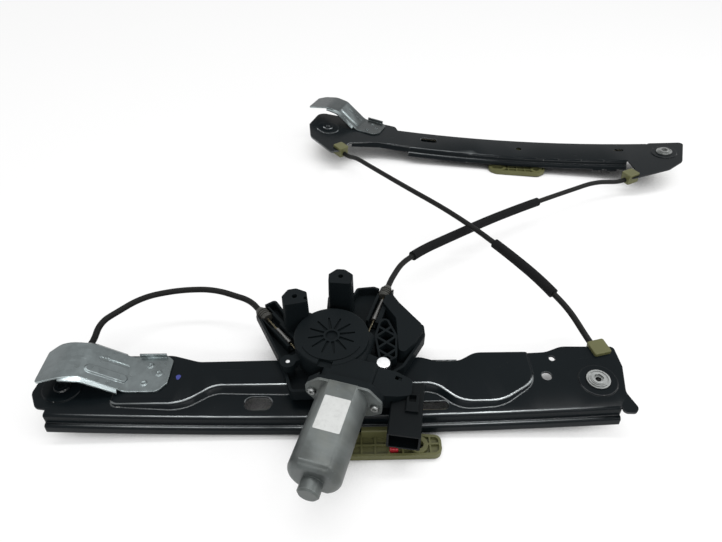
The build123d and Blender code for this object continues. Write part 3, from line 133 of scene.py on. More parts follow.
class Graph:
    """Node graph of one material, or of the world."""

    def __init__(self, name, holder=None):
        self.holder = holder or bpy.data.materials.new(name)
        self.holder.use_nodes = True
        self.tree = self.holder.node_tree
        self.tree.nodes.clear()

    def add(self, kind, settings=None, inputs=None, output=0):
        """Add a node: its settings first, then the values or links of its sockets."""
        node = self.tree.nodes.new(kind)
        for key, value in (settings or {}).items():
            if key == "stops":
                self._stops(node.color_ramp, value)
            else:
                setattr(node, key, value)
        for key, value in (inputs or {}).items():
            if isinstance(value, Maths):
                self.tree.links.new(value.socket, node.inputs[key])
            else:
                node.inputs[key].default_value = value
        return Maths(self, node.outputs[output] if node.outputs else None)

    @staticmethod
    def _stops(ramp, stops):
        while len(ramp.elements) > 1:
            ramp.elements.remove(ramp.elements[-1])
        for index, (position, value) in enumerate(stops):
            element = ramp.elements[0] if index == 0 else ramp.elements.new(position)
            element.position = position
            element.color = (value, value, value, 1) if isinstance(value, (int, float)) else (*value, 1)

    def coords(self):
        """The object's own coordinates, in metres."""
        return self.add("ShaderNodeTexCoord", output="Object")

    def axis(self, index):
        """X, Y or Z of the object's own coordinates."""
        return self.add("ShaderNodeSeparateXYZ", inputs={0: self.coords()}, output=index)

    def noise(self, scale, detail=3.0, rough=0.5, warp=0.0, stretch=None):
        """Cloudy value from 0 to 1, drawn out along the axes that stretch makes small."""
        vector = self.coords()
        if stretch:
            vector = self.add("ShaderNodeMapping", inputs={"Vector": vector, "Scale": stretch})
        inputs = {"Vector": vector, "Scale": scale, "Detail": detail}
        inputs.update({"Roughness": rough, "Distortion": warp})
        return self.add("ShaderNodeTexNoise", inputs=inputs)

    def cells(self, scale, feature="F1", output=0):
        """Cells like spangle or foam."""
        inputs = {"Vector": self.coords(), "Scale": scale}
        return self.add("ShaderNodeTexVoronoi", {"feature": feature}, inputs, output)

    def ramp(self, value, *stops):
        """Map a value through stops of place and value."""
        return self.add("ShaderNodeValToRGB", {"stops": stops}, {0: value})

    def mix(self, share, first, second):
        """Blend two colours."""
        first = (*first, 1) if isinstance(first, tuple) and len(first) == 3 else first
        second = (*second, 1) if isinstance(second, tuple) and len(second) == 3 else second
        return self.add("ShaderNodeMix", {"data_type": "RGBA"}, {0: share, 6: first, 7: second}, output=2)

    def folds(self, radius, low=0.004, high=0.08):
        """Mask of folds and edges: where a rounded normal leaves the true one."""
        true = self.add("ShaderNodeNewGeometry", output="Normal")
        return self.ramp(1 - self.facing(true, radius), (low, 0.0), (high, 1.0))

    def facing(self, way, radius):
        """How far the surface, rounded at its edges, looks one way."""
        rounded = self.add("ShaderNodeBevel", {"samples": 6}, {"Radius": radius})
        return self.add("ShaderNodeVectorMath", {"operation": "DOT_PRODUCT"}, {0: rounded, 1: way}, "Value")

    def bump(self, height, distance, radius=0.0):
        """Relief of a depth, over edges that are rounded to a radius."""
        inputs = {"Height": height, "Distance": distance, "Strength": 1.0}
        if radius:
            bevel = self.add("ShaderNodeBevel", {"samples": 4}, {"Radius": radius})
            inputs["Normal"] = bevel
        return self.add("ShaderNodeBump", inputs=inputs)

    def finish(self, colour, roughness, normal, metallic=0.0, **others):
        """Close the material with a surface shader; the others are its sockets by name."""
        inputs = {"Base Color": colour, "Roughness": roughness, "Metallic": metallic, "Normal": normal}
        inputs.update(others)
        return self.close(self.add("ShaderNodeBsdfPrincipled", inputs=inputs))

    def close(self, surface):
        """Send a shader to the material's output."""
        self.add("ShaderNodeOutputMaterial", inputs={"Surface": surface})
        return self.holder


def rgb(colour):
    """The three channels of a colour, as a tuple."""
    return tuple(colour)[:3]


def scaled(colour, factor):
    """A colour made darker or lighter."""
    return tuple(channel * factor for channel in rgb(colour))


# ---------------------------------------------------------------- settings


class RailSettings(bpy.types.PropertyGroup):
    """Paint of the rails."""

    paint: FloatVectorProperty(
        name="Paint", description="Colour of the rails' electrocoat", subtype="COLOR",
        default=(0.0036, 0.0056, 0.0068), min=0, max=1,
    )
    gloss: FloatProperty(
        name="Roughness", description="Mean roughness of the paint", default=0.22,
        min=0, max=1, subtype="FACTOR",
    )
    edge: FloatProperty(
        name="Edge rounding", description="Radius that light sees on the sheet's edges", default=0.0005,
        min=0, unit="LENGTH",
    )
    # The fold width sets how wide the painted highlights and painted sheen on the rails' folds are.
    fold: FloatProperty(
        name="Fold width", description="How far from a fold the paint stays thick and bright",
        default=0.0016, min=0, unit="LENGTH",
    )


class MetalSettings(bpy.types.PropertyGroup):
    """Bare and plated metal."""

    zinc: FloatVectorProperty(
        name="Galvanised", description="Colour of the brackets", subtype="COLOR",
        default=(0.145, 0.166, 0.169), min=0, max=1,
    )
    can: FloatVectorProperty(
        name="Motor can", description="Colour of the plated can", subtype="COLOR",
        default=(0.086, 0.096, 0.094), min=0, max=1,
    )
    plate: FloatVectorProperty(
        name="Bright plate", description="Colour of bushes, screws and rivets", subtype="COLOR",
        default=(0.28, 0.29, 0.285), min=0, max=1,
    )
    wire: FloatVectorProperty(
        name="Wire rope", description="Colour of the greased cable", subtype="COLOR",
        default=(0.34, 0.3, 0.2), min=0, max=1,
    )


class PlasticSettings(bpy.types.PropertyGroup):
    """Moulded pieces."""

    black: FloatVectorProperty(
        name="Black", description="Colour of the carrier and housings", subtype="COLOR",
        default=(0.0044, 0.0064, 0.0074), min=0, max=1,
    )
    cap: FloatVectorProperty(
        name="Cap", description="Colour of the conduit end caps", subtype="COLOR",
        default=(0.034, 0.034, 0.03), min=0, max=1,
    )
    khaki: FloatVectorProperty(
        name="Khaki", description="Colour of the seats and sliders", subtype="COLOR",
        default=(0.094, 0.095, 0.039), min=0, max=1,
    )
    lock: FloatVectorProperty(
        name="Lock key", description="Colour of the glass lock", subtype="COLOR",
        default=(0.32, 0.012, 0.02), min=0, max=1,
    )
    grain: FloatProperty(
        name="Grain", description="Depth of the moulded grain", default=0.00006, min=0, unit="LENGTH",
    )


class ConduitSettings(bpy.types.PropertyGroup):
    """Conduits and their sleeves."""

    sheath: FloatVectorProperty(
        name="Sheath", description="Colour of the conduits", subtype="COLOR",
        default=(0.0065, 0.0066, 0.0064), min=0, max=1,
    )
    foam: FloatVectorProperty(
        name="Foam", description="Colour of the anti-rattle sleeves", subtype="COLOR",
        default=(0.0058, 0.006, 0.0064), min=0, max=1,
    )


class LabelSettings(bpy.types.PropertyGroup):
    """The can's bare label and the rail's paint mark."""

    paper: FloatVectorProperty(
        name="Paper", description="Colour of the label", subtype="COLOR",
        default=(0.5, 0.51, 0.5), min=0, max=1,
    )
    mark: FloatVectorProperty(
        name="Mark", description="Colour of the paint mark", subtype="COLOR",
        default=(0.012, 0.02, 0.17), min=0, max=1,
    )
    width: FloatProperty(
        name="Label width", description="Width of the label", default=0.0222, min=0, unit="LENGTH",
    )
    length: FloatProperty(
        name="Label length", description="Length of the label", default=0.0315, min=0, unit="LENGTH",
    )


class StageSettings(bpy.types.PropertyGroup):
    """Floor, light and camera."""

    floor: FloatVectorProperty(
        name="Floor", description="Colour of the floor", subtype="COLOR",
        default=(0.9, 0.9, 0.9), min=0, max=1,
    )
    room: FloatProperty(
        name="Room light", description="Strength of the room as a light", default=0.62,
        min=0, max=1, subtype="FACTOR",
    )
    lens: FloatProperty(
        name="Lens", description="Focal length of the camera", default=27.0, min=1, unit="CAMERA",
    )
    pitch: FloatProperty(
        name="Pitch", description="How far the camera looks down", default=radians(42), subtype="ANGLE",
    )


SETTINGS = {
    "regulator_rails": RailSettings,
    "regulator_metal": MetalSettings,
    "regulator_plastic": PlasticSettings,
    "regulator_conduits": ConduitSettings,
    "regulator_labels": LabelSettings,
    "regulator_stage": StageSettings,
}


# ---------------------------------------------------------------- finishes

_finishes = {}


def finish_of(name, maker, *values):
    """The named finish, made once."""
    if name not in _finishes:
        _finishes[name] = maker(name, *values)
    return _finishes[name]


def rail_paint(name, settings):
    """Glossy black electrocoat with dust, scratches and chips, with painted highlights on the folds that
    face the front, strongest near the drum.
    """
    g = Graph(name)
    paint = rgb(settings.paint)
    cloud = g.noise(14, detail=4, rough=0.55)
    dust = g.ramp(g.noise(240, detail=6, rough=0.75), (0.66, 0.0), (0.76, 1.0))
    scratch = g.ramp(g.noise(170, detail=2, stretch=(0.12, 3.0, 3.0)), (0.72, 0.0), (0.78, 1.0))
    patchy = g.ramp(g.noise(9, detail=3), (0.36, 0.2), (0.62, 1.0))
    rim = g.folds(settings.fold)
    fold = rim * patchy
    along = g.axis(0) - DRUM.x
    middle = (1 - along * along * PAINTED_HIGHLIGHT_FADE).clamp()
    # Painted highlight on the folds that face the front, fading away from the drum.
    tilt = g.facing(FRONT, settings.fold)
    front = g.ramp(tilt, (0.06, 0.0), (0.34, 1.0))
    band = g.ramp(tilt, (0.13, 0.0), (0.22, 1.0), (0.32, 1.0), (0.46, 0.0))
    painted_fold_highlight = (band * middle * patchy * 1.3).clamp()
    chip = rim * g.ramp(g.noise(260, detail=4), (0.66, 0.0), (0.7, 1.0))
    tone = g.mix(cloud, scaled(paint, 0.75), scaled(paint, 1.3))
    tone = g.mix(dust * 0.2, tone, (0.04, 0.043, 0.043))
    tone = g.mix(scratch * 0.12, tone, (0.06, 0.062, 0.062))
    # Folds lightened a little: painted sheen.
    tone = g.mix(fold * 0.12, tone, (0.05, 0.053, 0.056))
    tone = g.mix(chip, tone, (0.3, 0.3, 0.29))
    # Painted highlight: the front folds turn pale grey here and metallic in the shader below.
    tone = g.mix(painted_fold_highlight, tone, (0.62, 0.66, 0.67))
    rough = settings.gloss + dust * 0.2 + cloud * 0.07 + scratch * 0.1
    height = cloud * 0.6 + g.noise(320, detail=2) * 0.05
    normal = g.bump(height, 0.00012, radius=settings.edge)
    coat = {"Coat Weight": fold * (front * 0.35 + 0.1), "Coat Roughness": 0.12, "Coat IOR": 2.4}
    return g.finish(tone, rough, normal, painted_fold_highlight * 0.9, **coat, **{"Specular IOR Level": 0.07})


def galvanised(name, colour):
    """Hot-dip sheet with spangle, dull patches and a few rubs, with painted highlights on edges that face
    the front and painted shade on rims that face away.
    """
    g = Graph(name)
    grain = g.cells(230, output="Color")
    spangle = g.add("ShaderNodeSeparateColor", inputs={0: grain}, output=0)
    patch = g.noise(17, detail=6, rough=0.62, warp=0.7)
    stain = g.ramp(g.noise(75, detail=7, rough=0.7), (0.54, 0.0), (0.74, 1.0))
    rub = g.ramp(g.noise(120, detail=3, stretch=(0.2, 2.5, 2.5)), (0.68, 0.0), (0.8, 1.0))
    streak = g.ramp(g.noise(60, detail=3, stretch=(0.16, 1.0, 1.0)), (0.4, 1.0), (0.52, 0.0))
    edge = g.folds(0.0011)
    front = g.facing(FRONT, 0.0011)
    # Painted highlight on edges that face the front, in patches.
    painted_edge_highlight = g.ramp(front, (0.16, 0.0), (0.42, 1.0)) * g.ramp(patch, (0.42, 0.12), (0.58, 1.0))
    # Painted shade on rims that face away from the front.
    shade = edge * g.ramp(front, (-0.3, 1.0), (-0.02, 0.0))
    tone = g.mix(patch, scaled(colour, 0.5), scaled(colour, 1.42))
    tone = g.mix(streak * 0.35, tone, scaled(colour, 0.6))
    tone = g.mix(spangle * 0.14, tone, scaled(colour, 1.6))
    tone = g.mix(stain * 0.35, tone, scaled(colour, 0.45))
    # Edges lightened: painted highlight; the rubs are real wear.
    tone = g.mix(edge * 0.4 + rub * 0.25, tone, scaled(colour, 3.0))
    # Painted shade on the rims facing away, then painted highlight on the front edges.
    tone = g.mix(shade * 0.75, tone, scaled(colour, 0.18))
    tone = g.mix(painted_edge_highlight, tone, scaled(colour, 6.0))
    rough = 0.2 + patch * 0.16 + stain * 0.14 + spangle * 0.06
    normal = g.bump(patch * 0.9 + spangle * 0.05 + g.noise(420) * 0.08, 0.0003, radius=0.0008)
    return g.finish(tone, rough, normal, 0.85)


def can_plate(name, colour):
    """Zinc-plated deep-drawn can: soft clouds, drawing lines and handling marks, with painted highlights on
    its edges.
    """
    g = Graph(name)
    cloud = g.ramp(g.noise(26, detail=6, rough=0.6, warp=0.8), (0.32, 0.0), (0.68, 1.0))
    draw = g.noise(200, detail=3, stretch=(2.4, 0.14, 2.4))
    mark = g.ramp(g.noise(85, detail=8, rough=0.72), (0.6, 0.0), (0.74, 1.0))
    speck = g.ramp(g.cells(170), (0.03, 1.0), (0.1, 0.0))
    edge = g.folds(0.0007)
    warm = (1.1 * colour[0], 1.04 * colour[1], 0.92 * colour[2])
    tone = g.mix(cloud, scaled(colour, 0.6), scaled(colour, 1.4))
    tone = g.mix(g.ramp(g.noise(40, detail=5, warp=0.5), (0.5, 0.0), (0.66, 0.4)), tone, warm)
    tone = g.mix(draw * 0.15, tone, scaled(colour, 1.4))
    tone = g.mix(mark * 0.3, tone, scaled(colour, 0.6))
    tone = g.mix(speck * 0.35, tone, scaled(colour, 1.9))
    # Edges lightened: painted highlight.
    tone = g.mix(edge * 0.4, tone, scaled(colour, 2.6))
    rough = 0.36 + cloud * 0.16 + mark * 0.12
    normal = g.bump(cloud * 0.4 + draw * 0.1 + mark * 0.12, 0.00018, radius=0.0004)
    return g.finish(tone, rough, normal, 0.55)


def bright_plate(name, colour):
    """Bright plating of turned and headed pieces, with painted highlights on their edges."""
    g = Graph(name)
    cloud = g.noise(150, detail=4)
    pit = g.ramp(g.cells(900, feature="DISTANCE_TO_EDGE"), (0.0, 1.0), (0.08, 0.0))
    edge = g.folds(0.0004)
    tone = g.mix(cloud, scaled(colour, 0.78), scaled(colour, 1.1))
    # Edges lightened: painted highlight.
    tone = g.mix(edge * 0.35, tone, scaled(colour, 1.3))
    normal = g.bump(cloud * 0.5 + pit * 0.1, 0.00008, radius=0.0002)
    return g.finish(tone, 0.26 + cloud * 0.18, normal, 1.0)


def machined(name, colour, rough):
    """Turned or stamped metal with fine tool marks."""
    g = Graph(name)
    cloud = g.noise(90, detail=4)
    line = (g.axis(2) * 9000.0).wave() * 0.5 + 0.5
    tone = g.mix(cloud, scaled(colour, 0.75), scaled(colour, 1.15))
    normal = g.bump(line * 0.25 + cloud, 0.00004)
    return g.finish(tone, rough + cloud * 0.15, normal, 1.0)


def moulded(name, colour, grain, rough, level=0.4):
    """Moulded plastic: fine grain, flow clouds, dust and pale rubbed edges."""
    g = Graph(name)
    cloud = g.noise(30, detail=4, rough=0.55)
    fine = g.noise(1500, detail=2)
    dust = g.ramp(g.noise(190, detail=7, rough=0.74), (0.62, 0.0), (0.78, 1.0))
    scuff = g.ramp(g.noise(160, detail=3, stretch=(0.3, 2.0, 2.0)), (0.72, 0.0), (0.8, 1.0))
    edge = g.folds(0.0006)
    tone = g.mix(cloud, scaled(colour, 0.8), scaled(colour, 1.22))
    tone = g.mix(dust * 0.16 + scuff * 0.08, tone, tuple(0.7 * c + 0.03 for c in colour))
    tone = g.mix(edge * 0.25, tone, tuple(1.3 * c + 0.01 for c in colour))
    height = fine * 0.6 + cloud * 0.5
    normal = g.bump(height, grain, radius=0.00035)
    surface_rough = rough + cloud * 0.1 + dust * 0.12
    return g.finish(tone, surface_rough, normal=normal, **{"Specular IOR Level": level})


def sheath(name, colour):
    """Extruded conduit sheath with a slight twist from the wire under it."""
    g = Graph(name)
    cloud = g.noise(45, detail=5)
    dust = g.ramp(g.noise(210, detail=6, rough=0.7), (0.52, 0.0), (0.7, 1.0))
    twist = ((g.axis(0) + g.axis(1) * 0.8) * 2600.0).wave() * 0.5 + 0.5
    tone = g.mix(cloud, scaled(colour, 0.7), scaled(colour, 1.5))
    tone = g.mix(dust * 0.25, tone, scaled(colour, 3.0))
    normal = g.bump(twist * 0.35 + cloud * 0.4, 0.00012)
    return g.finish(tone, 0.42 + cloud * 0.12, normal=normal, **{"Specular IOR Level": 0.1})


def foam(name, colour):
    """Soft foam sleeve with open cells and long creases."""
    g = Graph(name)
    cell = g.cells(1400, feature="DISTANCE_TO_EDGE")
    crease = g.noise(70, detail=4, warp=0.8)
    tone = g.mix(crease, scaled(colour, 0.6), scaled(colour, 1.7))
    normal = g.bump(cell * 0.8 + crease * 1.2, 0.0005)
    return g.finish(tone, 0.75 + crease * 0.15, normal=normal, **{"Specular IOR Level": 0.1})


def wire_rope(name, colour):
    """Laid wire rope: strands on the slant, dark grease between them."""
    g = Graph(name)
    lay = ((g.axis(0) * 0.9 + g.axis(1) + g.axis(2) * 1.6) * 5200.0).wave() * 0.5 + 0.5
    grease = g.ramp(g.noise(160, detail=5), (0.42, 0.0), (0.62, 1.0))
    tone = g.mix(lay, scaled(colour, 0.25), scaled(colour, 1.25))
    tone = g.mix(grease * 0.5, tone, (0.03, 0.026, 0.018))
    normal = g.bump(lay, 0.0003)
    return g.finish(tone, 0.32 + grease * 0.2, normal, 0.9)


def gloss_mould(name, colour):
    """Smooth moulding with a faint flow pattern."""
    g = Graph(name)
    cloud = g.noise(60, detail=4, warp=0.5)
    tone = g.mix(cloud, scaled(colour, 0.85), scaled(colour, 1.12))
    normal = g.bump(cloud, 0.00006, radius=0.0003)
    return g.finish(tone, 0.28 + cloud * 0.12, normal=normal)


def coated_board(name):
    """Circuit board laminate with its tracks under the coating."""
    g = Graph(name)
    track = g.ramp(g.cells(420, feature="DISTANCE_TO_EDGE"), (0.0, 1.0), (0.06, 0.0))
    tone = g.mix(track, (0.01, 0.075, 0.03), (0.03, 0.15, 0.06))
    return g.finish(tone, 0.35, normal=g.bump(track, 0.00004))


def label_paper(name, colour):
    """Bare label stock: soft stains, dirty edges and a faint weave."""
    g = Graph(name)
    stain = g.noise(120, detail=5, rough=0.6)
    fibre = g.noise(900, detail=2, stretch=(1.0, 3.0, 1.0))
    grime = g.ramp(g.noise(260, detail=6, rough=0.7), (0.5, 0.0), (0.72, 1.0))
    tone = g.mix(stain, scaled(colour, 0.88), scaled(colour, 1.08))
    tone = g.mix(grime * 0.3, tone, scaled(colour, 0.45))
    tone = g.mix(g.folds(0.0004) * 0.4, tone, scaled(colour, 0.4))
    return g.finish(tone, 0.48 + stain * 0.15, normal=g.bump(fibre * 0.4 + stain, 0.00005))


def dab_paint(name, colour):
    """Marker paint dabbed on by hand, in an uneven film."""
    g = Graph(name)
    film = g.noise(300, detail=4)
    tone = g.mix(film, scaled(colour, 0.55), scaled(colour, 1.5))
    return g.finish(tone, 0.35 + film * 0.2, normal=g.bump(film, 0.00008))


# ---------------------------------------------------------------- meshes

SMOOTH_GROUP = "regulator_smooth_by_angle"
SHARP_ANGLE = radians(30)
WELD_DISTANCE = 1e-6


def smooth_group():
    """Geometry nodes that shade smooth and keep the sharp edges."""
    if SMOOTH_GROUP in bpy.data.node_groups:
        return bpy.data.node_groups[SMOOTH_GROUP]
    group = bpy.data.node_groups.new(SMOOTH_GROUP, "GeometryNodeTree")
    group.interface.new_socket("Geometry", in_out="INPUT", socket_type="NodeSocketGeometry")
    group.interface.new_socket("Geometry", in_out="OUTPUT", socket_type="NodeSocketGeometry")
    start = group.nodes.new("NodeGroupInput")
    end = group.nodes.new("NodeGroupOutput")
    weld = group.nodes.new("GeometryNodeMergeByDistance")
    weld.inputs["Distance"].default_value = WELD_DISTANCE
    angle = group.nodes.new("GeometryNodeInputMeshEdgeAngle")
    sharp = group.nodes.new("FunctionNodeCompare")
    sharp.operation = "GREATER_THAN"
    sharp.inputs[1].default_value = SHARP_ANGLE
    faces = group.nodes.new("GeometryNodeSetShadeSmooth")
    faces.inputs["Shade Smooth"].default_value = True
    edges = group.nodes.new("GeometryNodeSetShadeSmooth")
    edges.domain = "EDGE"
    edges.inputs["Shade Smooth"].default_value = False
    link = group.links.new
    link(start.outputs[0], weld.inputs["Geometry"])
    link(weld.outputs[0], faces.inputs["Geometry"])
    link(faces.outputs[0], edges.inputs["Geometry"])
    link(angle.outputs["Unsigned Angle"], sharp.inputs[0])
    link(sharp.outputs[0], edges.inputs["Selection"])
    link(edges.outputs[0], end.inputs[0])
    return group


def smooth(piece):
    """Shade a piece smooth, with the modifier that all pieces share."""
    modifier = piece.modifiers.new("smooth_by_angle", "NODES")
    modifier.node_group = smooth_group()


def dress(material, *names):
    """Give CAD nodes a finish."""
    for name in names:
        piece = NODES[name]
        for slot in piece.material_slots:
            slot.material = material
        if not piece.material_slots:
            piece.data.materials.append(material)
        smooth(piece)


def named(*endings):
    """CAD nodes whose names end in one of these words."""
    found = [name for name in sorted(NODES) if name.endswith(endings)]
    if not found:
        raise RuntimeError("no node ends in " + " or ".join(endings))
    return found


def mesh_piece(name, verts, faces, material, body):
    """A new piece made of vertices in frame metres."""
    mesh = bpy.data.meshes.new(name)
    mesh.from_pydata([tuple(vert) for vert in verts], [], faces)
    mesh.validate()
    mesh.materials.append(material)
    piece = bpy.data.objects.new(name, mesh)
    bpy.context.scene.collection.objects.link(piece)
    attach(piece, body)
    return piece


def rounded_rectangle(half_width, half_length, radius, steps=6):
    """Corner points of a rounded rectangle about the origin, in turn."""
    points = []
    for corner, (x, y) in enumerate(((1, 1), (-1, 1), (-1, -1), (1, -1))):
        for step in range(steps + 1):
            angle = pi / 2 * (corner + step / steps)
            across = x * (half_width - radius) + radius * cos(angle)
            along = y * (half_length - radius) + radius * sin(angle)
            points.append((across, along))
    return points


def slab_piece(name, outline, lift, thickness, at, material, body):
    """A thin piece with a rounded rim: rings of points from its edge to its middle."""
    # The ring's share of the outline, and its share of the thickness.
    rings = ((1.0, 0.0), (1.0, 0.6), (0.985, 1.0), (0.6, 1.0), (0.2, 1.0))
    verts, faces, count = [], [], len(outline)
    for share, height in rings:
        verts += [at(x * share, y * share, lift + thickness * height) for x, y in outline]
    for ring in range(len(rings) - 1):
        for index in range(count):
            after = (index + 1) % count
            low, high = ring * count, (ring + 1) * count
            faces.append((low + index, low + after, high + after, high + index))
    faces.append(tuple(range((len(rings) - 1) * count, len(rings) * count)))
    faces.append(tuple(reversed(range(count))))
    piece = mesh_piece(name, verts, faces, material, body)
    smooth(piece)
    return piece


def on_can(x, along, height):
    """A point over the can's flat: across, along from the worm, and above the motor's axis."""
    turn = radians(MOTOR_TURN)
    across = WORM_OFFSET + x
    right = across * cos(turn) - along * sin(turn)
    back = -along * cos(turn) - across * sin(turn)
    return place(right, back, MOTOR_AXIS_Z + height)


def dropped(node, x, y, height):
    """A point just over a node's surface, straight below a place above it."""
    start = place(x, y, 200.0)
    hit, spot, _, _ = NODES[node].ray_cast(start, Vector((0, 0, -1)))
    if not hit:
        raise RuntimeError("nothing of " + node + " lies under the mark")
    return spot + Vector((0, 0, height * MM))


# ---------------------------------------------------------------- operators


class RegulatorOperator:
    """What every operator here shares."""

    bl_options = {"REGISTER", "UNDO"}

    def execute(self, context):
        self.make(context.scene)
        return {"FINISHED"}


class OBJECT_OT_regulator_rails(RegulatorOperator, bpy.types.Operator):
    """Paint the two guide rails"""

    bl_idname = "object.regulator_rails"
    bl_label = "Rails"

    def make(self, scene):
        dress(finish_of("rail_paint", rail_paint, scene.regulator_rails), "main_rail", "second_rail")


class OBJECT_OT_regulator_brackets(RegulatorOperator, bpy.types.Operator):
    """Galvanise the folded fixing brackets"""

    bl_idname = "object.regulator_brackets"
    bl_label = "Fixing brackets"

    def make(self, scene):
        zinc = rgb(scene.regulator_metal.zinc)
        dress(finish_of("galvanised", galvanised, zinc), "main_bracket")
        # The second bracket gets a darker copy of the same zinc: painted shade.
        dress(finish_of("galvanised_dull", galvanised, scaled(zinc, 0.42)), "second_bracket")


class OBJECT_OT_regulator_motor(RegulatorOperator, bpy.types.Operator):
    """Finish the motor's can and what turns inside it"""

    bl_idname = "object.regulator_motor"
    bl_label = "Motor"

    def make(self, scene):
        dress(finish_of("can_plate", can_plate, rgb(scene.regulator_metal.can)), "motor_can")
        steel = finish_of("turned_steel", machined, (0.4, 0.4, 0.39), 0.3)
        dress(steel, "armature_shaft", "drum_axle", "gearbox_lid")
        copper = finish_of("bare_copper", machined, (0.6, 0.25, 0.12), 0.3)
        dress(copper, "commutator", "armature_windings", "connector_pins")
        dress(finish_of("sintered_bronze", machined, (0.45, 0.3, 0.14), 0.5), "shaft_bearings")
        dress(finish_of("laminations", machined, (0.2, 0.2, 0.21), 0.45), "armature_core")
        dress(finish_of("ferrite", moulded, (0.02, 0.02, 0.022), 0.00005, 0.6), "motor_magnets")
        dress(finish_of("carbon", moulded, (0.012, 0.012, 0.012), 0.00005, 0.7), "brushes")


class OBJECT_OT_regulator_mouldings(RegulatorOperator, bpy.types.Operator):
    """Finish the black moulded pieces of the drive unit"""

    bl_idname = "object.regulator_mouldings"
    bl_label = "Carrier and housings"

    def make(self, scene):
        plastic = scene.regulator_plastic
        black = rgb(plastic.black)
        finish = finish_of("black_moulding", moulded, black, plastic.grain, 0.46, 0.055)
        dress(finish, "carrier", "gear_housing", "control_cover", "brush_carrier")
        smoother = finish_of("connector_black", moulded, scaled(black, 0.6), plastic.grain, 0.36, 0.06)
        dress(smoother, "connector_housing")
        grey = finish_of("cap_grey", moulded, rgb(plastic.cap), plastic.grain, 0.4, 0.25)
        dress(grey, "left_outlet_cap", "right_outlet_cap")
        dress(finish_of("coated_board", coated_board), "control_board")


class OBJECT_OT_regulator_fasteners(RegulatorOperator, bpy.types.Operator):
    """Plate the bushes, rivets, screws and ferrules"""

    bl_idname = "object.regulator_fasteners"
    bl_label = "Bushes, rivets and screws"

    def make(self, scene):
        finish = finish_of("bright_plate", bright_plate, rgb(scene.regulator_metal.plate))
        dress(finish, *named("_bush", "_rivets", "can_screws", "right_rivet"))
        dress(finish_of("new_plate", bright_plate, (0.72, 0.73, 0.74)), "gearbox_screws")
        dress(finish_of("rail_paint", rail_paint, scene.regulator_rails), *named("left_rivet"))
        crimped = finish_of("crimped_zinc", machined, (0.17, 0.17, 0.165), 0.4)
        dress(crimped, "left_ferrule", "right_ferrule")


class OBJECT_OT_regulator_conduits(RegulatorOperator, bpy.types.Operator):
    """Finish the conduits, their sleeves and the bare cable"""

    bl_idname = "object.regulator_conduits"
    bl_label = "Conduits and cable"

    def make(self, scene):
        conduits = scene.regulator_conduits
        dress(finish_of("conduit_sheath", sheath, rgb(conduits.sheath)), *named("_conduit"))
        dress(finish_of("foam_sleeve", foam, rgb(conduits.foam)), *named("_sleeve"))
        rope = finish_of("wire_rope", wire_rope, rgb(scene.regulator_metal.wire))
        dress(rope, *named("_cable", "_nipple"))


class OBJECT_OT_regulator_sliders(RegulatorOperator, bpy.types.Operator):
    """Finish the khaki seats and sliders, and the lock key"""

    bl_idname = "object.regulator_sliders"
    bl_label = "Seats, sliders and lock"

    def make(self, scene):
        plastic = scene.regulator_plastic
        khaki = finish_of("khaki_moulding", moulded, rgb(plastic.khaki), plastic.grain, 0.42, 0.25)
        dress(khaki, *named("_conduit_seat", "_carriage"))
        dress(finish_of("red_lock", gloss_mould, rgb(plastic.lock)), "glass_lock")


class OBJECT_OT_regulator_wheels(RegulatorOperator, bpy.types.Operator):
    """Finish the end pulleys, the drum and the worm wheel"""

    bl_idname = "object.regulator_wheels"
    bl_label = "Pulleys, drum and wheel"

    def make(self, scene):
        finish = finish_of("natural_moulding", gloss_mould, (0.62, 0.6, 0.52))
        dress(finish, *named("_pulley"), "cable_drum", "worm_wheel")


class OBJECT_OT_regulator_label(RegulatorOperator, bpy.types.Operator):
    """Stick a bare label on the can and dab the inspection mark on the main rail"""

    bl_idname = "object.regulator_label"
    bl_label = "Label and paint mark"

    def make(self, scene):
        labels = scene.regulator_labels
        paper = finish_of("label_paper", label_paper, rgb(labels.paper))
        half_width, half_length = labels.width / MM / 2, labels.length / MM / 2
        outline = rounded_rectangle(half_width, half_length, 1.0)

        def on_flat(x, y, z):
            return on_can(LABEL_ACROSS + x, LABEL_ALONG - y, CAN_FLAT_HEIGHT + z)

        slab_piece("can_label", outline, 0.02, 0.14, on_flat, paper, "frame")
        ink = finish_of("dab_paint", dab_paint, rgb(labels.mark))
        dab = []
        for corner in range(MARK_CORNERS):
            turn = 2 * pi * corner / MARK_CORNERS
            swell = 1 + 0.16 * sin(3 * turn)
            dab.append((MARK_HALF_WIDTH * cos(turn) * swell, MARK_HALF_LENGTH * sin(turn)))

        def on_rail(x, y, z):
            return dropped("main_rail", MARK_X + x, MARK_Y + y, z)

        slab_piece("inspection_mark", dab, 0.03, 0.12, on_rail, ink, "frame")


class OBJECT_OT_regulator_stage(RegulatorOperator, bpy.types.Operator):
    """Set the floor, the soft light and the camera"""

    bl_idname = "object.regulator_stage"
    bl_label = "Stage"

    def make(self, scene):
        stage = scene.regulator_stage
        floor_of(rgb(stage.floor))
        world_of(scene, stage.room)
        lean = radians(52)
        strip("overhead_strip", where=(100.0, 260.0, 1300.0), turn=(0, 0, 0), size=(1.5, 0.16), watts=9.0)
        strip("front_strip", where=(100.0, -1100.0, 900.0), turn=(lean, 0, 0), size=(1.5, 0.12), watts=7.0)
        strip("side_strip", where=(1200.0, 0.0, 800.0), turn=(0, lean, 0), size=(0.16, 1.2), watts=5.0)
        camera_of(scene, stage)


# ---------------------------------------------------------------- stage


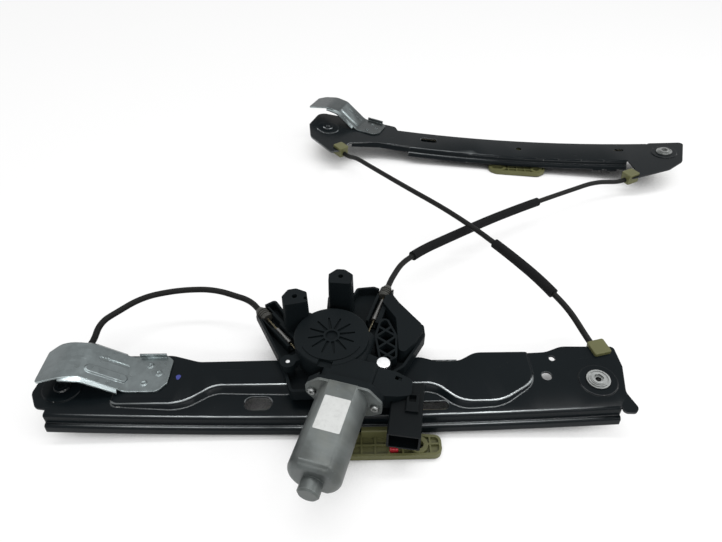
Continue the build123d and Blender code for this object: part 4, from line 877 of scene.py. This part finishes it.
def floor_of(colour):
    """A matt floor with a soft shadow, painted shade that darkens it deep under the part, and lifted to
    white for the camera.
    """
    signs = ((-1, -1), (1, -1), (1, 1), (-1, 1))
    corners = [(x * FLOOR_REACH, y * FLOOR_REACH, -FLOOR_GAP) for x, y in signs]
    mesh = bpy.data.meshes.new("floor")
    mesh.from_pydata(corners, [], [(0, 1, 2, 3)])
    g = Graph("floor")
    open_air = g.add("ShaderNodeAmbientOcclusion", {"samples": 6}, {"Distance": SHADE_REACH}, "AO")
    tone = g.mix(g.noise(3.0, detail=6), scaled(colour, 0.985), scaled(colour, 1.015))
    # Painted shade: the floor's colour turns almost black where parts stand close over it.
    tone = g.mix(g.ramp(open_air, (0.12, 0.0), (0.42, 1.0)), (0.02, 0.022, 0.022), tone)
    matt = g.add("ShaderNodeBsdfDiffuse", inputs={"Color": tone})
    white = g.add("ShaderNodeEmission", inputs={"Color": (1, 1, 1, 1), "Strength": 1.0})
    seen = g.add("ShaderNodeLightPath", output="Is Camera Ray")
    lift = g.ramp(open_air, (0.3, 0.0), (0.6, 0.45), (1.0, 0.8))
    surface = g.add("ShaderNodeMixShader", inputs={0: seen * lift, 1: matt, 2: white})
    mesh.materials.append(g.close(surface))
    floor = bpy.data.objects.new("floor", mesh)
    bpy.context.scene.collection.objects.link(floor)


def world_of(scene, level):
    """Pale room: white where the camera or a reflection looks, softer as a light."""
    world = bpy.data.worlds.new("studio")
    g = Graph("studio", world)
    rays = ("Is Camera Ray", "Is Glossy Ray", "Is Transmission Ray")
    seen, glossy, through = (g.add("ShaderNodeLightPath", output=ray) for ray in rays)
    white = (seen + glossy + through).clamp()
    strength = level + white * (1 - level)
    back = g.add("ShaderNodeBackground", inputs={"Color": (1, 1, 1, 1), "Strength": strength})
    g.add("ShaderNodeOutputWorld", inputs={"Surface": back})
    scene.world = world


def strip(name, where, turn, size, watts):
    """A long soft lamp, placed in millimetres from the drum's axis."""
    lamp = bpy.data.lights.new(name, "AREA")
    lamp.shape = "RECTANGLE"
    lamp.size, lamp.size_y = size
    lamp.energy = watts
    holder = bpy.data.objects.new(name, lamp)
    holder.location = place(*where)
    holder.rotation_euler = turn
    bpy.context.scene.collection.objects.link(holder)


def camera_of(scene, stage):
    """The camera, and plain colours for what it sees."""
    data = bpy.data.cameras.new("camera")
    data.sensor_width = 36.0
    data.lens = stage.lens
    data.clip_start, data.clip_end = 0.01, 50.0
    camera = bpy.data.objects.new("camera", data)
    camera.location = place(*CAMERA_AT)
    camera.rotation_euler = (pi / 2 - stage.pitch, 0.0, radians(CAMERA_TURN))
    scene.collection.objects.link(camera)
    scene.camera = camera
    scene.view_settings.view_transform = "Standard"


# ---------------------------------------------------------------- add-on

OPERATORS = (
    OBJECT_OT_regulator_stage,
    OBJECT_OT_regulator_rails,
    OBJECT_OT_regulator_brackets,
    OBJECT_OT_regulator_motor,
    OBJECT_OT_regulator_mouldings,
    OBJECT_OT_regulator_fasteners,
    OBJECT_OT_regulator_conduits,
    OBJECT_OT_regulator_sliders,
    OBJECT_OT_regulator_wheels,
    OBJECT_OT_regulator_label,
)


class VIEW3D_PT_regulator(bpy.types.Panel):
    """Settings and pieces of the regulator"""

    bl_label = "Window regulator"
    bl_space_type = "VIEW_3D"
    bl_region_type = "UI"
    bl_category = "Regulator"

    def draw(self, context):
        layout = self.layout
        for holder in SETTINGS:
            group = getattr(context.scene, holder)
            box = layout.box()
            for key in group.__annotations__:
                box.prop(group, key)
        for operator in OPERATORS:
            layout.operator(operator.bl_idname)


def register():
    for kind in (*SETTINGS.values(), *OPERATORS, VIEW3D_PT_regulator):
        bpy.utils.register_class(kind)
    for holder, kind in SETTINGS.items():
        setattr(bpy.types.Scene, holder, PointerProperty(type=kind))


def unregister():
    for holder in SETTINGS:
        delattr(bpy.types.Scene, holder)
    for kind in (VIEW3D_PT_regulator, *reversed(OPERATORS), *SETTINGS.values()):
        bpy.utils.unregister_class(kind)


def main():
    register()
    for operator in OPERATORS:
        group, name = operator.bl_idname.split(".")
        getattr(getattr(bpy.ops, group), name)()


if __name__ == "__main__":
    main()
